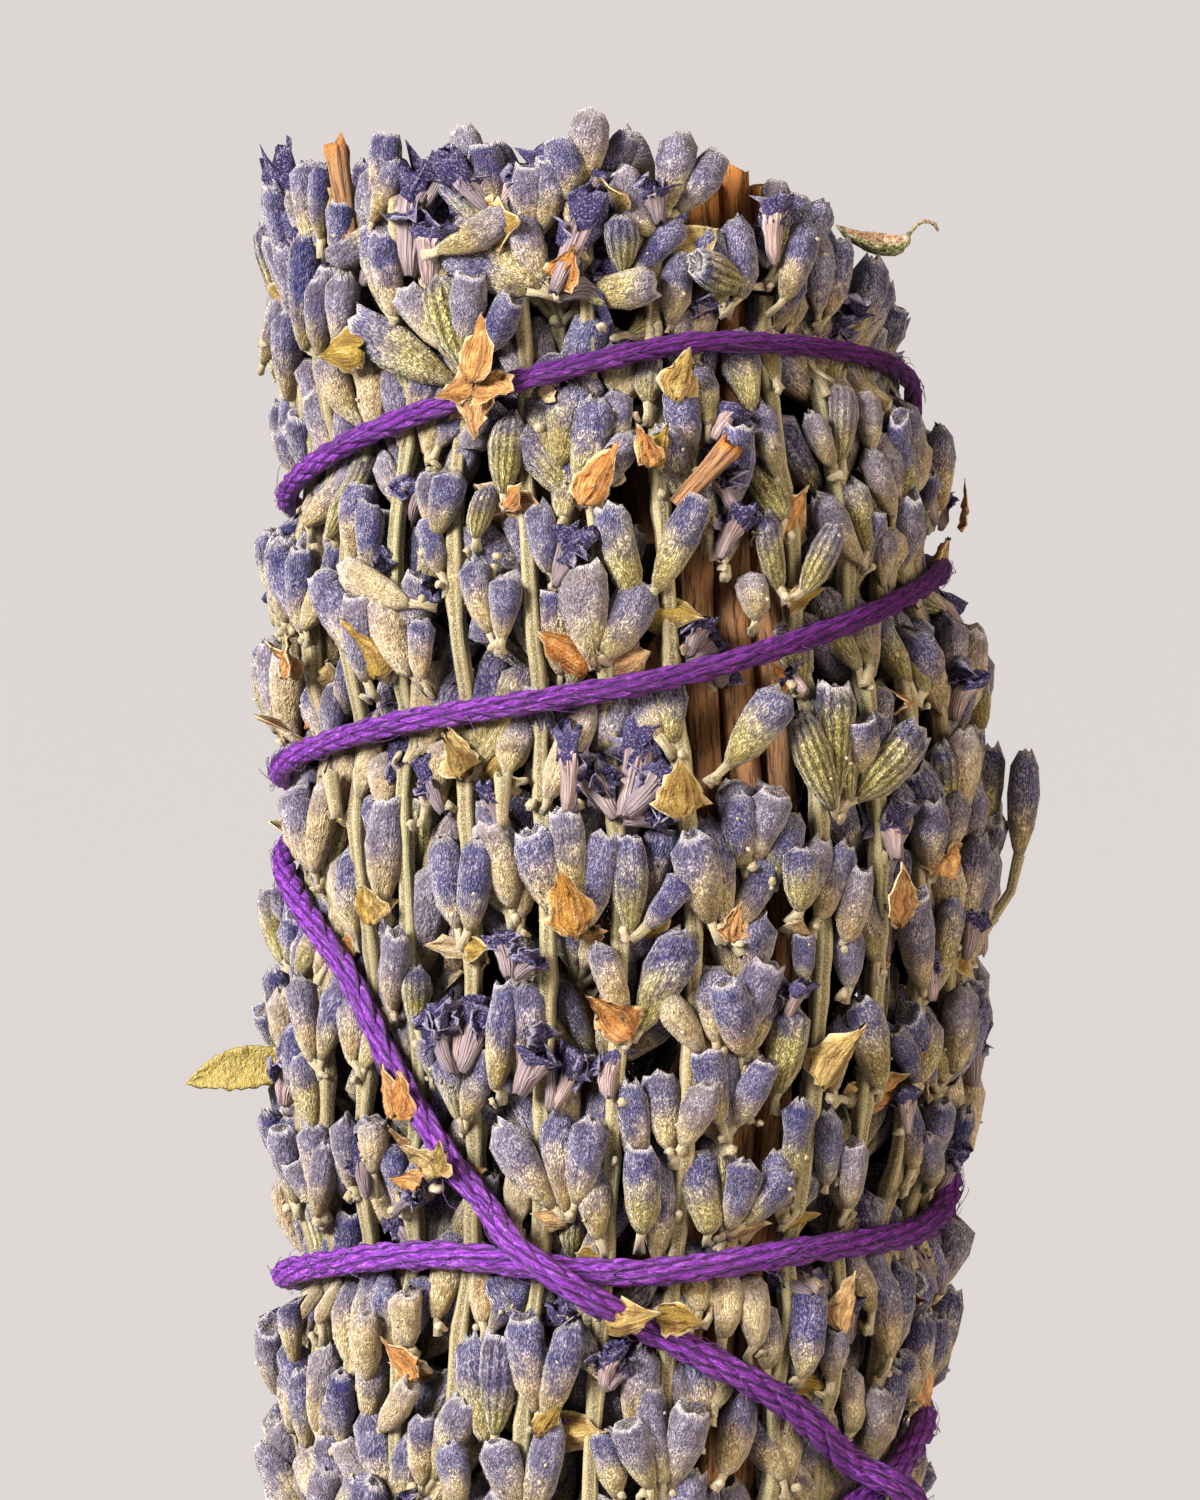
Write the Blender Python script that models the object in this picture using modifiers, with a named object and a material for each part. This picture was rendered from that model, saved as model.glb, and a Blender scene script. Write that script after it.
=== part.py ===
"""Lavender smudge stick: a standing bundle of dried lavender spikes round woody stalks, bound with cotton string.

Blender 4.5, metres, +Z up. The origin is the centre of the middle stalk's cut foot, on the surface that the
bundle stands on. -Y is the front. A bearing is an angle round the bundle in degrees: 0 at the front, 90 at the
right (+X), 180 at the back and 270 (or -90) at the left.
"""

import math
import random

import bmesh
import bpy
import numpy as np
from mathutils import Vector

MM = 0.001

# The bundle: how its cross-section swells and leans, as (height, value) pairs in millimetres and shares.
SWELL = [
    (0, 0.65), (12, 0.61), (24, 0.71), (36, 0.86), (48, 0.955), (62, 0.99),
    (80, 1.04), (92, 1.035), (100, 1.0), (106, 0.95), (116, 0.94), (128, 0.92),
]
LEAN = [(0, 0.0), (47, 0.1), (60, 0.9), (78, 1.8), (90, 1.3), (106, 0.3), (128, -0.5)]
STRAIGHT_FOOT = 3 * MM

# The rings of spikes, at full swell.
OUTER_RING = 19.6 * MM
OUTER_SPIKE = 1.88 * MM
MIDDLE_RING = 13.6 * MM
MIDDLE_SPIKE = 2.8 * MM
INNER_RING = 8.0 * MM
INNER_SPIKE = 2.6 * MM
CORE_RING = 3.5 * MM
STALK = 1.5 * MM
STALK_NECK = 0.88
STALK_KNOBS = (0.18, 0.34, 0.5, 0.66, 0.82, 1.0)
STEM = 0.95 * MM
NECK = 0.85 * MM
WHORL_PITCH = 9.2 * MM
WIDEST_AT = 0.62
FIRST_WHORL = 23 * MM
SHORTEST_WHORL = 3 * MM
CLOSEST_POINTS = 0.3 * MM

# Where the spikes stand. The gap in the outer ring near 21 degrees shows three woody stalks.
FRONT_BEARINGS = [-90, -76, -63, -51, -39, -27, -14, -2, 10, 32, 44, 56, 68, 80, 93]
BACK_SPIKES = 12
LEFT_SIDE = 270
MIDDLE_PLACES = 12
MIDDLE_TURN = 21
INNER_PLACES = 7
CORE_PLACES = 4
GAP_STALK_BEARINGS = [14, 21.5, 29]
GAP_STALK_RING = 14.6 * MM
GAP_STALK = 0.8 * MM

# The ends of the spikes and stalks, above the foot.
OUTER_TIP = 119.5 * MM
OUTER_TIP_SIDE_FALL = 2.3 * MM
MIDDLE_TIP = 122.5 * MM
INNER_TIP = 124.0 * MM
STALK_TOP = 121.5 * MM
GAP_STALK_TOPS = [119.5, 122.0, 120.5]
TIP_SPREAD = 1.4 * MM
TIP_END = 0.55 * MM

# The string, wound up from the foot and down again in one direction, as (bearing, height in millimetres).
STRING = 1.75 * MM
STRING_CLEARANCE = 0.45 * MM
STRING_ROUTE = [
    (168, 1.6), (170, 4.6), (179, 7.6), (210, 8.6), (360, 9.4), (540, 10.7), (720, 12.1), (900, 13.9),
    (990, 16.0), (1080, 19.2), (1170, 22.2), (1260, 25.4), (1350, 31.5), (1440, 40.5), (1500, 46.6),
    (1518, 48.6), (1620, 53.0), (1712, 57.6), (1768, 60.6), (1800, 59.9), (1832, 60.8), (1880, 62.4),
    (1980, 80.0), (2020, 85.6), (2072, 87.6), (2120, 90.4), (2166, 92.9), (2224, 98.4), (2250, 100.0),
    (2340, 101.8), (2430, 104.0), (2458, 105.8), (2520, 110.8), (2540, 111.9), (2585, 111.4), (2610, 109.5),
    (2700, 91.5), (2740, 86.4), (2792, 82.5), (2825, 77.0), (2839, 71.0), (2854, 64.8), (2874, 59.2),
    (2895, 55.2), (2912, 52.1), (2934, 46.8), (2970, 40.5), (3060, 29.0), (3150, 24.0), (3190, 21.6),
    (3205, 19.9), (3211, 18.5), (3217, 16.4), (3220, 14.4),
]
# The bearings at which the string's middle is worked out: even steps, and close ones where its ends run steeply.
STRING_STEPS = range(180, 3192, 12)
STEEP_ENDS = [168, 168.8, 169.5, 172, 176, 3196, 3202, 3206, 3211, 3215, 3218, 3220]
# Where a later turn passes over an earlier one, it rides up by this much.
HUMP = 2.1 * MM
HUMP_REACH = 2.2 * MM
# The knots: where they lie along the string, and how far out from its middle.
KNOT = 2.2 * MM
KNOTS = [(179, 1.7 * MM), (3210, -0.5 * MM)]

# How far a spike is squeezed where the string crosses it.
SQUEEZED_RING = 17.7 * MM
SQUEEZED_SPIKE = 0.95 * MM
SQUEEZE_REACH = 2.2 * MM
NEAR_CROSSINGS = 5.0 * MM

# Loose bits caught in the flowers.
LEAF_THICKNESS = 0.3 * MM
LEAF_STALK_SHARE = 0.18
CURLED_LEAF = [(13.9, -8.2, 119.7), (19.6, -4.4, 118.7)]
SIDE_LEAF = [(-20.6, -1.0, 69.6), (-24.7, -1.6, 69.2)]

# The bud that stands off the right-hand side: (x, height, radius) in millimetres along its shoot.
SIDE_BUD_SPIKE = "outer_spike_14"
SIDE_BUD_Y = -2.6 * MM
SIDE_BUD = [
    (21.5, 77, 0.4), (23.9, 80, 0.4), (24.3, 82.4, 0.7),
    (24.8, 85, 1.1), (25.0, 87.4, 0.9), (25.1, 88.8, 0.4),
]


def smooth_through(points, at):
    """A Catmull-Rom curve through (position, value) pairs, read at one position."""
    places = [p for p, _ in points]
    values = [v for _, v in points]
    at = min(max(at, places[0]), places[-1])
    i = min(max(int(np.searchsorted(places, at)) - 1, 0), len(points) - 2)
    before, after = max(i - 1, 0), min(i + 2, len(points) - 1)
    span = places[i + 1] - places[i]
    t = (at - places[i]) / span
    slope_in = (values[i + 1] - values[before]) / (places[i + 1] - places[before]) * span
    slope_out = (values[after] - values[i]) / (places[after] - places[i]) * span
    return (
        (2 * t**3 - 3 * t**2 + 1) * values[i]
        + (t**3 - 2 * t**2 + t) * slope_in
        + (3 * t**2 - 2 * t**3) * values[i + 1]
        + (t**3 - t**2) * slope_out
    )


def swell(height):
    """Share of the full cross-section that the bundle has at this height."""
    return smooth_through(SWELL, max(height, STRAIGHT_FOOT) / MM)


def bundle_point(ring, bearing, height):
    """The point at this height and bearing on a ring of this radius at full swell."""
    turn = math.radians(bearing)
    radius = ring * swell(height)
    lean = smooth_through(LEAN, max(height, STRAIGHT_FOOT) / MM) * MM
    return Vector((lean + radius * math.sin(turn), -radius * math.cos(turn), height))


def string_height(bearing):
    return smooth_through(STRING_ROUTE, bearing) * MM


def string_lift(bearing):
    """How far the string stands off its ring to ride over earlier turns that lie at the same height."""
    height = string_height(bearing)
    lift = 0
    earlier = bearing - 360
    while earlier >= STRING_ROUTE[0][0]:
        apart = (height - string_height(earlier)) / HUMP_REACH
        lift = max(lift, HUMP * math.exp(-(apart**4)))
        earlier -= 360
    return lift


def string_heights_at(bearing):
    """Every height at which the string crosses this bearing."""
    first, last = STRING_ROUTE[0][0], STRING_ROUTE[-1][0]
    turns = range(math.ceil((first - bearing) / 360), math.floor((last - bearing) / 360) + 1)
    return sorted(string_height(bearing + 360 * turn) for turn in turns)


def squeezed_zones(bearing):
    """(low, high) of each stretch where the string squeezes a spike, near crossings taken as one."""
    zones = []
    for height in string_heights_at(bearing):
        if zones and height - zones[-1][1] < NEAR_CROSSINGS:
            zones[-1][1] = height
        else:
            zones.append([height, height])
    return [(low - SQUEEZE_REACH, high + SQUEEZE_REACH) for low, high in zones]


def material(name, colour, roughness):
    made = bpy.data.materials.new(name)
    made.use_nodes = True
    shader = made.node_tree.nodes["Principled BSDF"]
    shader.inputs["Base Color"].default_value = (*colour, 1)
    shader.inputs["Roughness"].default_value = roughness
    shader.inputs["Metallic"].default_value = 0
    return made


def rod(name, points, radii, finish, collection, bevel_resolution=1):
    """A closed tube along these points, as thick at each as its radius says."""
    curve = bpy.data.curves.new(name, "CURVE")
    curve.dimensions = "3D"
    curve.bevel_depth = 1
    curve.bevel_resolution = bevel_resolution
    curve.use_fill_caps = True
    spline = curve.splines.new("POLY")
    spline.points.add(len(points) - 1)
    for spot, point, radius in zip(spline.points, points, radii):
        spot.co = (*point, 1)
        spot.radius = radius
    curve.materials.append(finish)
    made = bpy.data.objects.new(name, curve)
    collection.objects.link(made)
    return made


def whorls(low, high, widest, rng):
    """(height, radius) pairs for the whorls that fit between two heights: each flares upwards from a neck."""
    count = max(1, round((high - low) / WHORL_PITCH))
    pitch = (high - low) / count
    fullness = min(1.0, pitch / (0.75 * WHORL_PITCH))
    pairs = []
    for k in range(count):
        base = low + k * pitch
        wide = NECK + (widest - NECK) * fullness * rng.uniform(0.88, 1.0)
        pairs += [(base, NECK), (base + WIDEST_AT * pitch, wide)]
    return pairs


def spike(name, ring, bearing, tip, widest, finish, collection, rng, squeezed=False):
    """One dried lavender spike: a stem with whorls of calyxes as flared bulges, squeezed thin under the string."""
    zones = squeezed_zones(bearing) if squeezed else []
    stops = [STRAIGHT_FOOT] + [edge for zone in zones for edge in zone] + [tip]
    foot_ring = SQUEEZED_RING if squeezed else ring
    outline = [(0.0, STEM, foot_ring), (STRAIGHT_FOOT, STEM, foot_ring)]
    for k in range(0, len(stops), 2):
        low, high = max(stops[k], FIRST_WHORL), stops[k + 1]
        if high - low > SHORTEST_WHORL:
            outline += [(z, r, ring) for z, r in whorls(low, high, widest, rng)]
        if k + 2 < len(stops):
            outline += [(z, SQUEEZED_SPIKE, SQUEEZED_RING) for z in (stops[k + 1], stops[k + 2])]
    outline.append((tip, TIP_END, ring))
    outline = [row for k, row in enumerate(outline) if k == 0 or row[0] > outline[k - 1][0] + CLOSEST_POINTS]
    points = [bundle_point(r, bearing, z) for z, _, r in outline]
    radii = [r * swell(z) for z, r, _ in outline]
    return rod(name, points, radii, finish, collection)


def stalk(name, ring, bearing, top, radius, finish, collection, rng):
    """One woody stalk: a slightly knobbly stick, sawn off at both ends."""
    heights = [0, STRAIGHT_FOOT] + [top * share for share in STALK_KNOBS]
    radii = [radius * rng.uniform(STALK_NECK, 1) * swell(z) for z in heights]
    points = [bundle_point(ring, bearing, z) for z in heights]
    return rod(name, points, radii, finish, collection)


def string_point(bearing):
    """A point along the middle of the string, which lies on the squeezed spikes and rides over its earlier turns."""
    on_spikes = bundle_point(SQUEEZED_RING + SQUEEZED_SPIKE, bearing, string_height(bearing))
    return on_spikes + bundle_direction(bearing) * (STRING_CLEARANCE + STRING / 2 + string_lift(bearing))


def bundle_direction(bearing):
    """The arrow straight out of the bundle at this bearing."""
    turn = math.radians(bearing)
    return Vector((math.sin(turn), -math.cos(turn), 0))


def tie_string(finish, collection):
    """The string along its whole route, joined to a ball for each knot."""
    points = [string_point(bearing) for bearing in sorted([*STRING_STEPS, *STEEP_ENDS])]
    tube = rod("tie_string", points, [STRING / 2] * len(points), finish, collection, bevel_resolution=2)
    string = as_mesh(tube, collection)
    for k, (bearing, out) in enumerate(KNOTS):
        place = string_point(bearing) + bundle_direction(bearing) * out
        bpy.ops.mesh.primitive_ico_sphere_add(subdivisions=2, radius=KNOT, location=place)
        join(string, f"knot_{k + 1}")
    return string


def as_mesh(tube, collection):
    """The curve object as a closed mesh object of the same name."""
    graph = bpy.context.evaluated_depsgraph_get()
    mesh = bpy.data.meshes.new_from_object(tube.evaluated_get(graph))
    weld(mesh)
    mesh.shade_smooth()
    name = tube.name
    place = tube.matrix_world.copy()
    bpy.data.objects.remove(tube)
    made = bpy.data.objects.new(name, mesh)
    made.matrix_world = place
    collection.objects.link(made)
    return made


def join(whole, name):
    """Joins the active object to this one, and keeps it out of the model."""
    added = bpy.context.object
    added.name = name
    for owner in list(added.users_collection):
        owner.objects.unlink(added)
    bpy.data.collections["joined_shapes"].objects.link(added)
    added.hide_render = True
    added.display_type = "WIRE"
    union = whole.modifiers.new(name, "BOOLEAN")
    union.operation = "UNION"
    union.object = added


def weld(mesh):
    """Merges a curve's loose caps with its sides."""
    work = bmesh.new()
    work.from_mesh(mesh)
    bmesh.ops.remove_doubles(work, verts=work.verts, dist=0.01 * MM)
    work.to_mesh(mesh)
    work.free()


def leaf(name, ends, width, cup, curl, finish, collection):
    """A thin dry leaf between two points in millimetres: pointed, cupped across and curled along."""
    start, end = (Vector(point) * MM for point in ends)
    along = end - start
    across = along.cross(Vector((0, 0, 1))).normalized()
    up = across.cross(along).normalized()
    bpy.ops.mesh.primitive_grid_add(x_subdivisions=7, y_subdivisions=3, size=2)
    made = bpy.context.object
    made.name = name
    for vertex in made.data.vertices:
        t, s = (vertex.co.x + 1) / 2, vertex.co.y
        belly = math.sin(math.pi * min(1, 0.08 + 0.92 * t)) ** 0.8
        half = width / 2 * (LEAF_STALK_SHARE + (1 - LEAF_STALK_SHARE) * belly)
        rise = cup * s * s * half / width + curl * math.sin(math.pi * t)
        vertex.co = start + along * t + across * (half * s) + up * rise
    skin = made.modifiers.new("thickness", "SOLIDIFY")
    skin.thickness = LEAF_THICKNESS
    made.data.shade_smooth()
    made.data.materials.append(finish)
    for owner in list(made.users_collection):
        owner.objects.unlink(made)
    collection.objects.link(made)
    return made


def side_bud(spike_object, collection):
    """One bud of this spike on a thin side shoot that stands off the bundle's right-hand side."""
    whole = as_mesh(spike_object, collection)
    points = [Vector((x * MM, SIDE_BUD_Y, z * MM)) for x, z, _ in SIDE_BUD]
    shoot = rod("side_bud", points, [radius * MM for _, _, radius in SIDE_BUD], whole.active_material, collection)
    bpy.context.view_layer.objects.active = as_mesh(shoot, collection)
    join(whole, "side_bud")


def main():
    for obj in list(bpy.data.objects):
        bpy.data.objects.remove(obj)
    stick = bpy.data.collections.new("lavender_smudge_stick")
    joined = bpy.data.collections.new("joined_shapes")
    bpy.context.scene.collection.children.link(stick)
    bpy.context.scene.collection.children.link(joined)

    lavender = material("dried_lavender", (0.20, 0.18, 0.26), 0.9)
    inner_lavender = material("inner_lavender", (0.14, 0.12, 0.15), 0.9)
    wood = material("woody_stalk", (0.32, 0.16, 0.07), 0.8)
    cotton = material("violet_cotton", (0.24, 0.04, 0.40), 0.85)
    dry_leaf = material("dry_leaf", (0.45, 0.30, 0.10), 0.85)

    rng = random.Random(7)
    back_step = (LEFT_SIDE - FRONT_BEARINGS[-1]) / (BACK_SPIKES + 1)
    back = [FRONT_BEARINGS[-1] + back_step * (k + 1) for k in range(BACK_SPIKES)]
    for k, bearing in enumerate(FRONT_BEARINGS + back):
        tip = OUTER_TIP - OUTER_TIP_SIDE_FALL * math.sin(math.radians(bearing)) + rng.uniform(-1, 1) * TIP_SPREAD
        name = f"outer_spike_{k + 1:02d}"
        spike(name, OUTER_RING, bearing, tip, OUTER_SPIKE, lavender, stick, rng, squeezed=True)

    for k in range(1, MIDDLE_PLACES):
        bearing = MIDDLE_TURN + 360 / MIDDLE_PLACES * k
        tip = MIDDLE_TIP + rng.uniform(-1, 1) * TIP_SPREAD
        name = f"middle_spike_{k:02d}"
        spike(name, MIDDLE_RING, bearing, tip, MIDDLE_SPIKE, inner_lavender, stick, rng)
    for k, (bearing, top) in enumerate(zip(GAP_STALK_BEARINGS, GAP_STALK_TOPS)):
        stalk(f"woody_stalk_{k + 1}", GAP_STALK_RING, bearing, top * MM, GAP_STALK, wood, stick, rng)

    for k in range(INNER_PLACES):
        bearing = 360 / INNER_PLACES * k
        tip = INNER_TIP + rng.uniform(-1, 1) * TIP_SPREAD
        spike(f"inner_spike_{k + 1}", INNER_RING, bearing, tip, INNER_SPIKE, inner_lavender, stick, rng)
    for k in range(CORE_PLACES):
        bearing = 360 / CORE_PLACES * (k + 0.5)
        stalk(f"woody_stalk_{k + 4}", CORE_RING, bearing, STALK_TOP + k * MM, STALK, wood, stick, rng)
    stalk("middle_stalk", 0, 0, STALK_TOP, STALK, wood, stick, rng)

    tie_string(cotton, stick)
    leaf("curled_leaf", CURLED_LEAF, 2.0 * MM, 0.8 * MM, 0.5 * MM, dry_leaf, stick)
    leaf("side_leaf", SIDE_LEAF, 2.2 * MM, 0.6 * MM, 0.3 * MM, dry_leaf, stick)
    side_bud(stick.objects[SIDE_BUD_SPIKE], stick)


main()
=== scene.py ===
# %% [markdown]
# # A lavender smudge stick
#
# A smudge stick is a bundle of dried lavender, laid round a few woody stalks and bound tightly with cotton
# string while the plants are still soft. As it dries, the flowers shrink round the string and hold it in a
# groove. Every spike of lavender grew as one piece, so every spike is one mesh here, with its stem, its
# felted calyxes, its papery bracts and its shrivelled corollas. The solids of the model are loaded first and
# say how tall and how wide everything may be. Lengths in this lesson are in millimetres, and a bearing is an
# angle round the bundle in degrees: 0 at the front, 90 at the right and 180 at the back.

from functools import partial
from types import SimpleNamespace

import bpy
import numpy as np
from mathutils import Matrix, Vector


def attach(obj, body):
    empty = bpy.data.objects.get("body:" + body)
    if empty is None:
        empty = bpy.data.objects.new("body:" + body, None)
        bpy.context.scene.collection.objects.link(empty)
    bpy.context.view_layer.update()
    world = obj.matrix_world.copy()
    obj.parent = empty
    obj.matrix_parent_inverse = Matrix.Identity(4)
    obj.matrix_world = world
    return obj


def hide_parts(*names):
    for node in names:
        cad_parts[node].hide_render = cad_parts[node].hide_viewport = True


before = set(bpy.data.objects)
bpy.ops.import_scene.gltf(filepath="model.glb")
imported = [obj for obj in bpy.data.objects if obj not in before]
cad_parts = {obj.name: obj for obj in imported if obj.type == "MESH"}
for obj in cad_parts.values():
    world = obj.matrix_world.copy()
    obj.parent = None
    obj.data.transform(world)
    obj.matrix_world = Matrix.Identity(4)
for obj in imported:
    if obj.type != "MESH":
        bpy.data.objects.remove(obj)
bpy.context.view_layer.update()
MM = 0.001

# %% [markdown]
# ## The form of the bundle
#
# The bundle is waisted at its bound foot, fullest above the middle, and leans a little to the right. Both
# are drawn as smooth curves through a few heights. A smooth curve could be a spline object, but a formula on
# whole arrays is quicker to read at half a million points at once.

# %% Smooth curves, and points on the bundle
SWELL = np.array([(0, 0.65), (12, 0.61), (24, 0.71), (36, 0.86), (48, 0.955), (62, 0.99), (80, 1.04),
                  (92, 1.035), (100, 1.0), (106, 0.95), (116, 0.94), (128, 0.92)])
LEAN = np.array([(0, 0.0), (47, 0.1), (60, 0.9), (78, 1.8), (90, 1.3), (106, 0.3), (128, -0.5)])
STRAIGHT_FOOT = 3.0


def smooth_through(points, at):
    """A curve through (place, value) rows: between two rows it leaves and arrives with the slope of their
    neighbours, as a third-degree polynomial."""
    places, values = np.asarray(points, float).T
    at = np.clip(at, places[0], places[-1])
    k = np.clip(np.searchsorted(places, at) - 1, 0, len(places) - 2)
    before, after = np.maximum(k - 1, 0), np.minimum(k + 2, len(places) - 1)
    span = places[k + 1] - places[k]
    t = (at - places[k]) / span
    slope_in = (values[k + 1] - values[before]) / (places[k + 1] - places[before]) * span
    slope_out = (values[after] - values[k]) / (places[after] - places[k]) * span
    return ((2 * t**3 - 3 * t**2 + 1) * values[k] + (t**3 - 2 * t**2 + t) * slope_in
            + (3 * t**2 - 2 * t**3) * values[k + 1] + (t**3 - t**2) * slope_out)


def swell(height):
    return smooth_through(SWELL, np.maximum(height, STRAIGHT_FOOT))


def lean(height):
    return smooth_through(LEAN, np.maximum(height, STRAIGHT_FOOT))


def stacked(*parts):
    """Numbers or arrays side by side in one array, as the parts of its arrows, points or places."""
    return np.stack(np.broadcast_arrays(*parts), -1)


def directions(bearing):
    """Unit arrows straight out of the bundle, and sideways along its skin towards higher bearings."""
    turn = np.radians(bearing)
    return stacked(np.sin(turn), -np.cos(turn), 0.0), stacked(np.cos(turn), np.sin(turn), 0.0)


def middle_at(height):
    return stacked(lean(height), 0.0, height)


def on_bundle(ring, bearing, height):
    """Points on a ring of this radius at full swell: it shrinks with the swell and shifts with the lean."""
    return middle_at(height) + directions(bearing)[0] * (ring * swell(height))[..., None]


def level_arrow(points):
    """The level arrow from the middle of the bundle to each point, and its length."""
    arrow = points - middle_at(points[..., 2])
    return arrow, np.maximum(np.linalg.norm(arrow, axis=-1), 0.01)


print(f"swells from {SWELL[:, 1].min()} at the foot to {SWELL[:, 1].max()} above the middle")

# %% [markdown]
# ## The course of the string
#
# One cotton strand winds up the bundle from a knot at the back of the foot, turns at the top, and comes down
# again to its end knot. It presses the flowers inwards, so it is worked out before any flower: a flower has
# to know where the string lies. Where the strand crosses an earlier turn it rides up over it in a low hump.

# %% The string's height and distance out at any bearing
STRING = 1.75
STRING_REST = 18.65
STRING_CLEARANCE = 0.45
STRING_ROUTE = np.array([
    (168, 1.6), (170, 4.6), (179, 7.6), (210, 8.6), (360, 9.4), (540, 10.7), (720, 12.1), (900, 13.9),
    (990, 16.0), (1080, 19.2), (1170, 22.2), (1260, 25.4), (1350, 31.5), (1440, 40.5), (1500, 46.6),
    (1518, 48.6), (1620, 53.0), (1712, 57.6), (1768, 60.6), (1800, 59.9), (1832, 60.8), (1880, 62.4),
    (1980, 80.0), (2020, 85.6), (2072, 87.6), (2120, 90.4), (2166, 92.9), (2224, 98.4), (2250, 100.0),
    (2340, 101.8), (2430, 104.0), (2458, 105.8), (2520, 110.8), (2540, 111.9), (2585, 111.4), (2610, 109.5),
    (2700, 91.5), (2740, 86.4), (2792, 82.5), (2825, 77.0), (2839, 71.0), (2854, 64.8), (2874, 59.2),
    (2895, 55.2), (2912, 52.1), (2934, 46.8), (2970, 40.5), (3060, 29.0), (3150, 24.0), (3190, 21.6),
    (3205, 19.9), (3211, 18.5), (3217, 16.4), (3220, 14.4)])
FIRST_BEARING, LAST_BEARING = STRING_ROUTE[0, 0], STRING_ROUTE[-1, 0]
FULL_TURNS = int(LAST_BEARING // 360)
HUMP, HUMP_REACH = 2.1, 2.2


def string_height(bearing):
    return smooth_through(STRING_ROUTE, bearing)


def string_lift(bearing):
    """The rise over earlier turns: a flat-topped bell of how far apart in height the two turns are."""
    lift = np.zeros_like(bearing)
    for turn in range(1, FULL_TURNS + 1):
        earlier = bearing - 360 * turn
        apart = (string_height(bearing) - string_height(earlier)) / HUMP_REACH
        lift = np.maximum(lift, np.where(earlier >= FIRST_BEARING, HUMP * np.exp(-(apart**4)), 0))
    return lift


def string_middle(bearing):
    """The middle of the string: on the squeezed flowers, clear by half its thickness, plus the rise."""
    out = STRING_CLEARANCE + STRING / 2 + string_lift(bearing)
    return on_bundle(STRING_REST, bearing, string_height(bearing)) + directions(bearing)[0] * out[:, None]


print(f"the string goes {(LAST_BEARING - FIRST_BEARING) / 360:.1f} times round the bundle")

# %% [markdown]
# Everything that grows is squeezed where the string passes. The flowers keep their order from the inside
# out, as soft things do under a tight band: a layer a few millimetres deep is pressed thinner, and nothing
# is cut away.

# %% Press plants in under the string
SKIN_RING = 21.5
STAND_OUT = 1.2
FLOWER_REACH, STEM_REACH, BEAD_REACH = 1.75, 3.2, 2.1
FLOWER_MARGIN, STEM_MARGIN = 0.2, 0.75


def tucked_in(points):
    """Eases points that stand out beyond the flower skin back to little more than a millimetre from it."""
    arrow, out = level_arrow(points)
    start = SKIN_RING * swell(points[:, 2]) - 0.1
    eased = np.where(out > start, start + STAND_OUT * np.tanh((out - start) / STAND_OUT), out)
    return points + arrow * (eased / out - 1)[:, None]


def string_nearness(points, reach, power=4):
    """1 on the course of the string, fading to 0 at about this reach, measured square to the string."""
    arrow, out = level_arrow(points)
    bearing = np.degrees(np.arctan2(arrow[..., 0], -arrow[..., 1])) % 360
    near = np.zeros_like(out)
    for turn in range(FULL_TURNS + 1):
        there = bearing + 360 * turn
        on_route = (there > FIRST_BEARING + 2) & (there < LAST_BEARING - 2)
        rise = (string_height(there + 1) - string_height(there - 1)) / np.radians(2)
        apart = (points[..., 2] - string_height(there)) / np.sqrt(1 + (rise / np.maximum(out, 8)) ** 2)
        near = np.maximum(near, np.where(on_route, np.exp(-(np.abs(apart / reach) ** power)), 0))
    return near


def under_string(points, reach=FLOWER_REACH, power=4, margin=FLOWER_MARGIN):
    """Points farther out than the inner side of the string, less a margin, are pushed in that far where the
    string is, and less and less with their distance to it."""
    arrow, out = level_arrow(points)
    room = STRING_REST * swell(points[:, 2]) + STRING_CLEARANCE - margin
    push = np.maximum(out - room, 0) * string_nearness(points, reach, power)
    return points - arrow * (push / out)[:, None]


# %% [markdown]
# ## From arrays to a mesh
#
# A calyx, a bract, a petal tube and a stem are all a closed skin over rings of points, so one small set of
# functions serves them. A batch holds many equal shapes in one array, numbered by copy, ring and place round
# the ring. Each point also carries where it is on its shape, its own colour mix, and whether it is a rim or
# the inside of a mouth.

# %% Batches of closed skins
LAYERS = (("skin", "FLOAT_VECTOR", "vector"), ("tone", "FLOAT_COLOR", "color"), ("edge", "FLOAT", "value"),
          ("depth", "FLOAT", "value"))
# painted shade inside the bundle starts this far under the flower skin, and is full this much deeper
UNSHADED_SKIN, SHADE_SPAN = 2.0, 3.2
OPEN_FROM, OPEN_OVER = 114, 7


def skin_faces(rings, around):
    """Four-cornered cells between neighbouring rings, and one flat cap on the first and on the last ring."""
    ring, place = np.meshgrid(np.arange(rings - 1), np.arange(around), indexing="ij")
    here, after = ring * around + place, ring * around + (place + 1) % around
    cells = stacked(here, after, after + around, here + around).reshape(-1, 4)
    caps = np.stack([np.arange(around)[::-1], (rings - 1) * around + np.arange(around)])
    return cells, caps


def batch(points, finish, skin, tone, edge=0.0):
    """points[copy, ring, place] with a finish number, the parts of a place on the skin, a colour mix and a
    mark that is 1 on a rim and -1 inside a mouth."""
    full = points.shape[:3]
    copies, rings, around = full
    cells, caps = skin_faces(rings, around)
    start = np.arange(copies)[:, None, None] * rings * around
    return {
        "points": points.reshape(-1, 3), "finish": finish,
        "cells": (cells + start).reshape(-1, 4), "caps": (caps + start).reshape(-1, around),
        "skin": np.broadcast_to(stacked(*skin), (*full, 3)).reshape(-1, 3),
        "tone": np.broadcast_to(tone, (*full, 4)).reshape(-1, 4),
        "edge": np.broadcast_to(edge, full).reshape(-1),
    }


def depth_in(points):
    """0 near the flower skin to 1 five millimetres inside it, the share of painted shade there; 0 at the open
    top.
    """
    height = points[:, 2]
    inside = SKIN_RING * swell(height) - UNSHADED_SKIN - level_arrow(points)[1]
    return np.clip(inside / SHADE_SPAN, 0, 1) * (1 - np.clip((height - OPEN_FROM) / OPEN_OVER, 0, 1))


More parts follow.
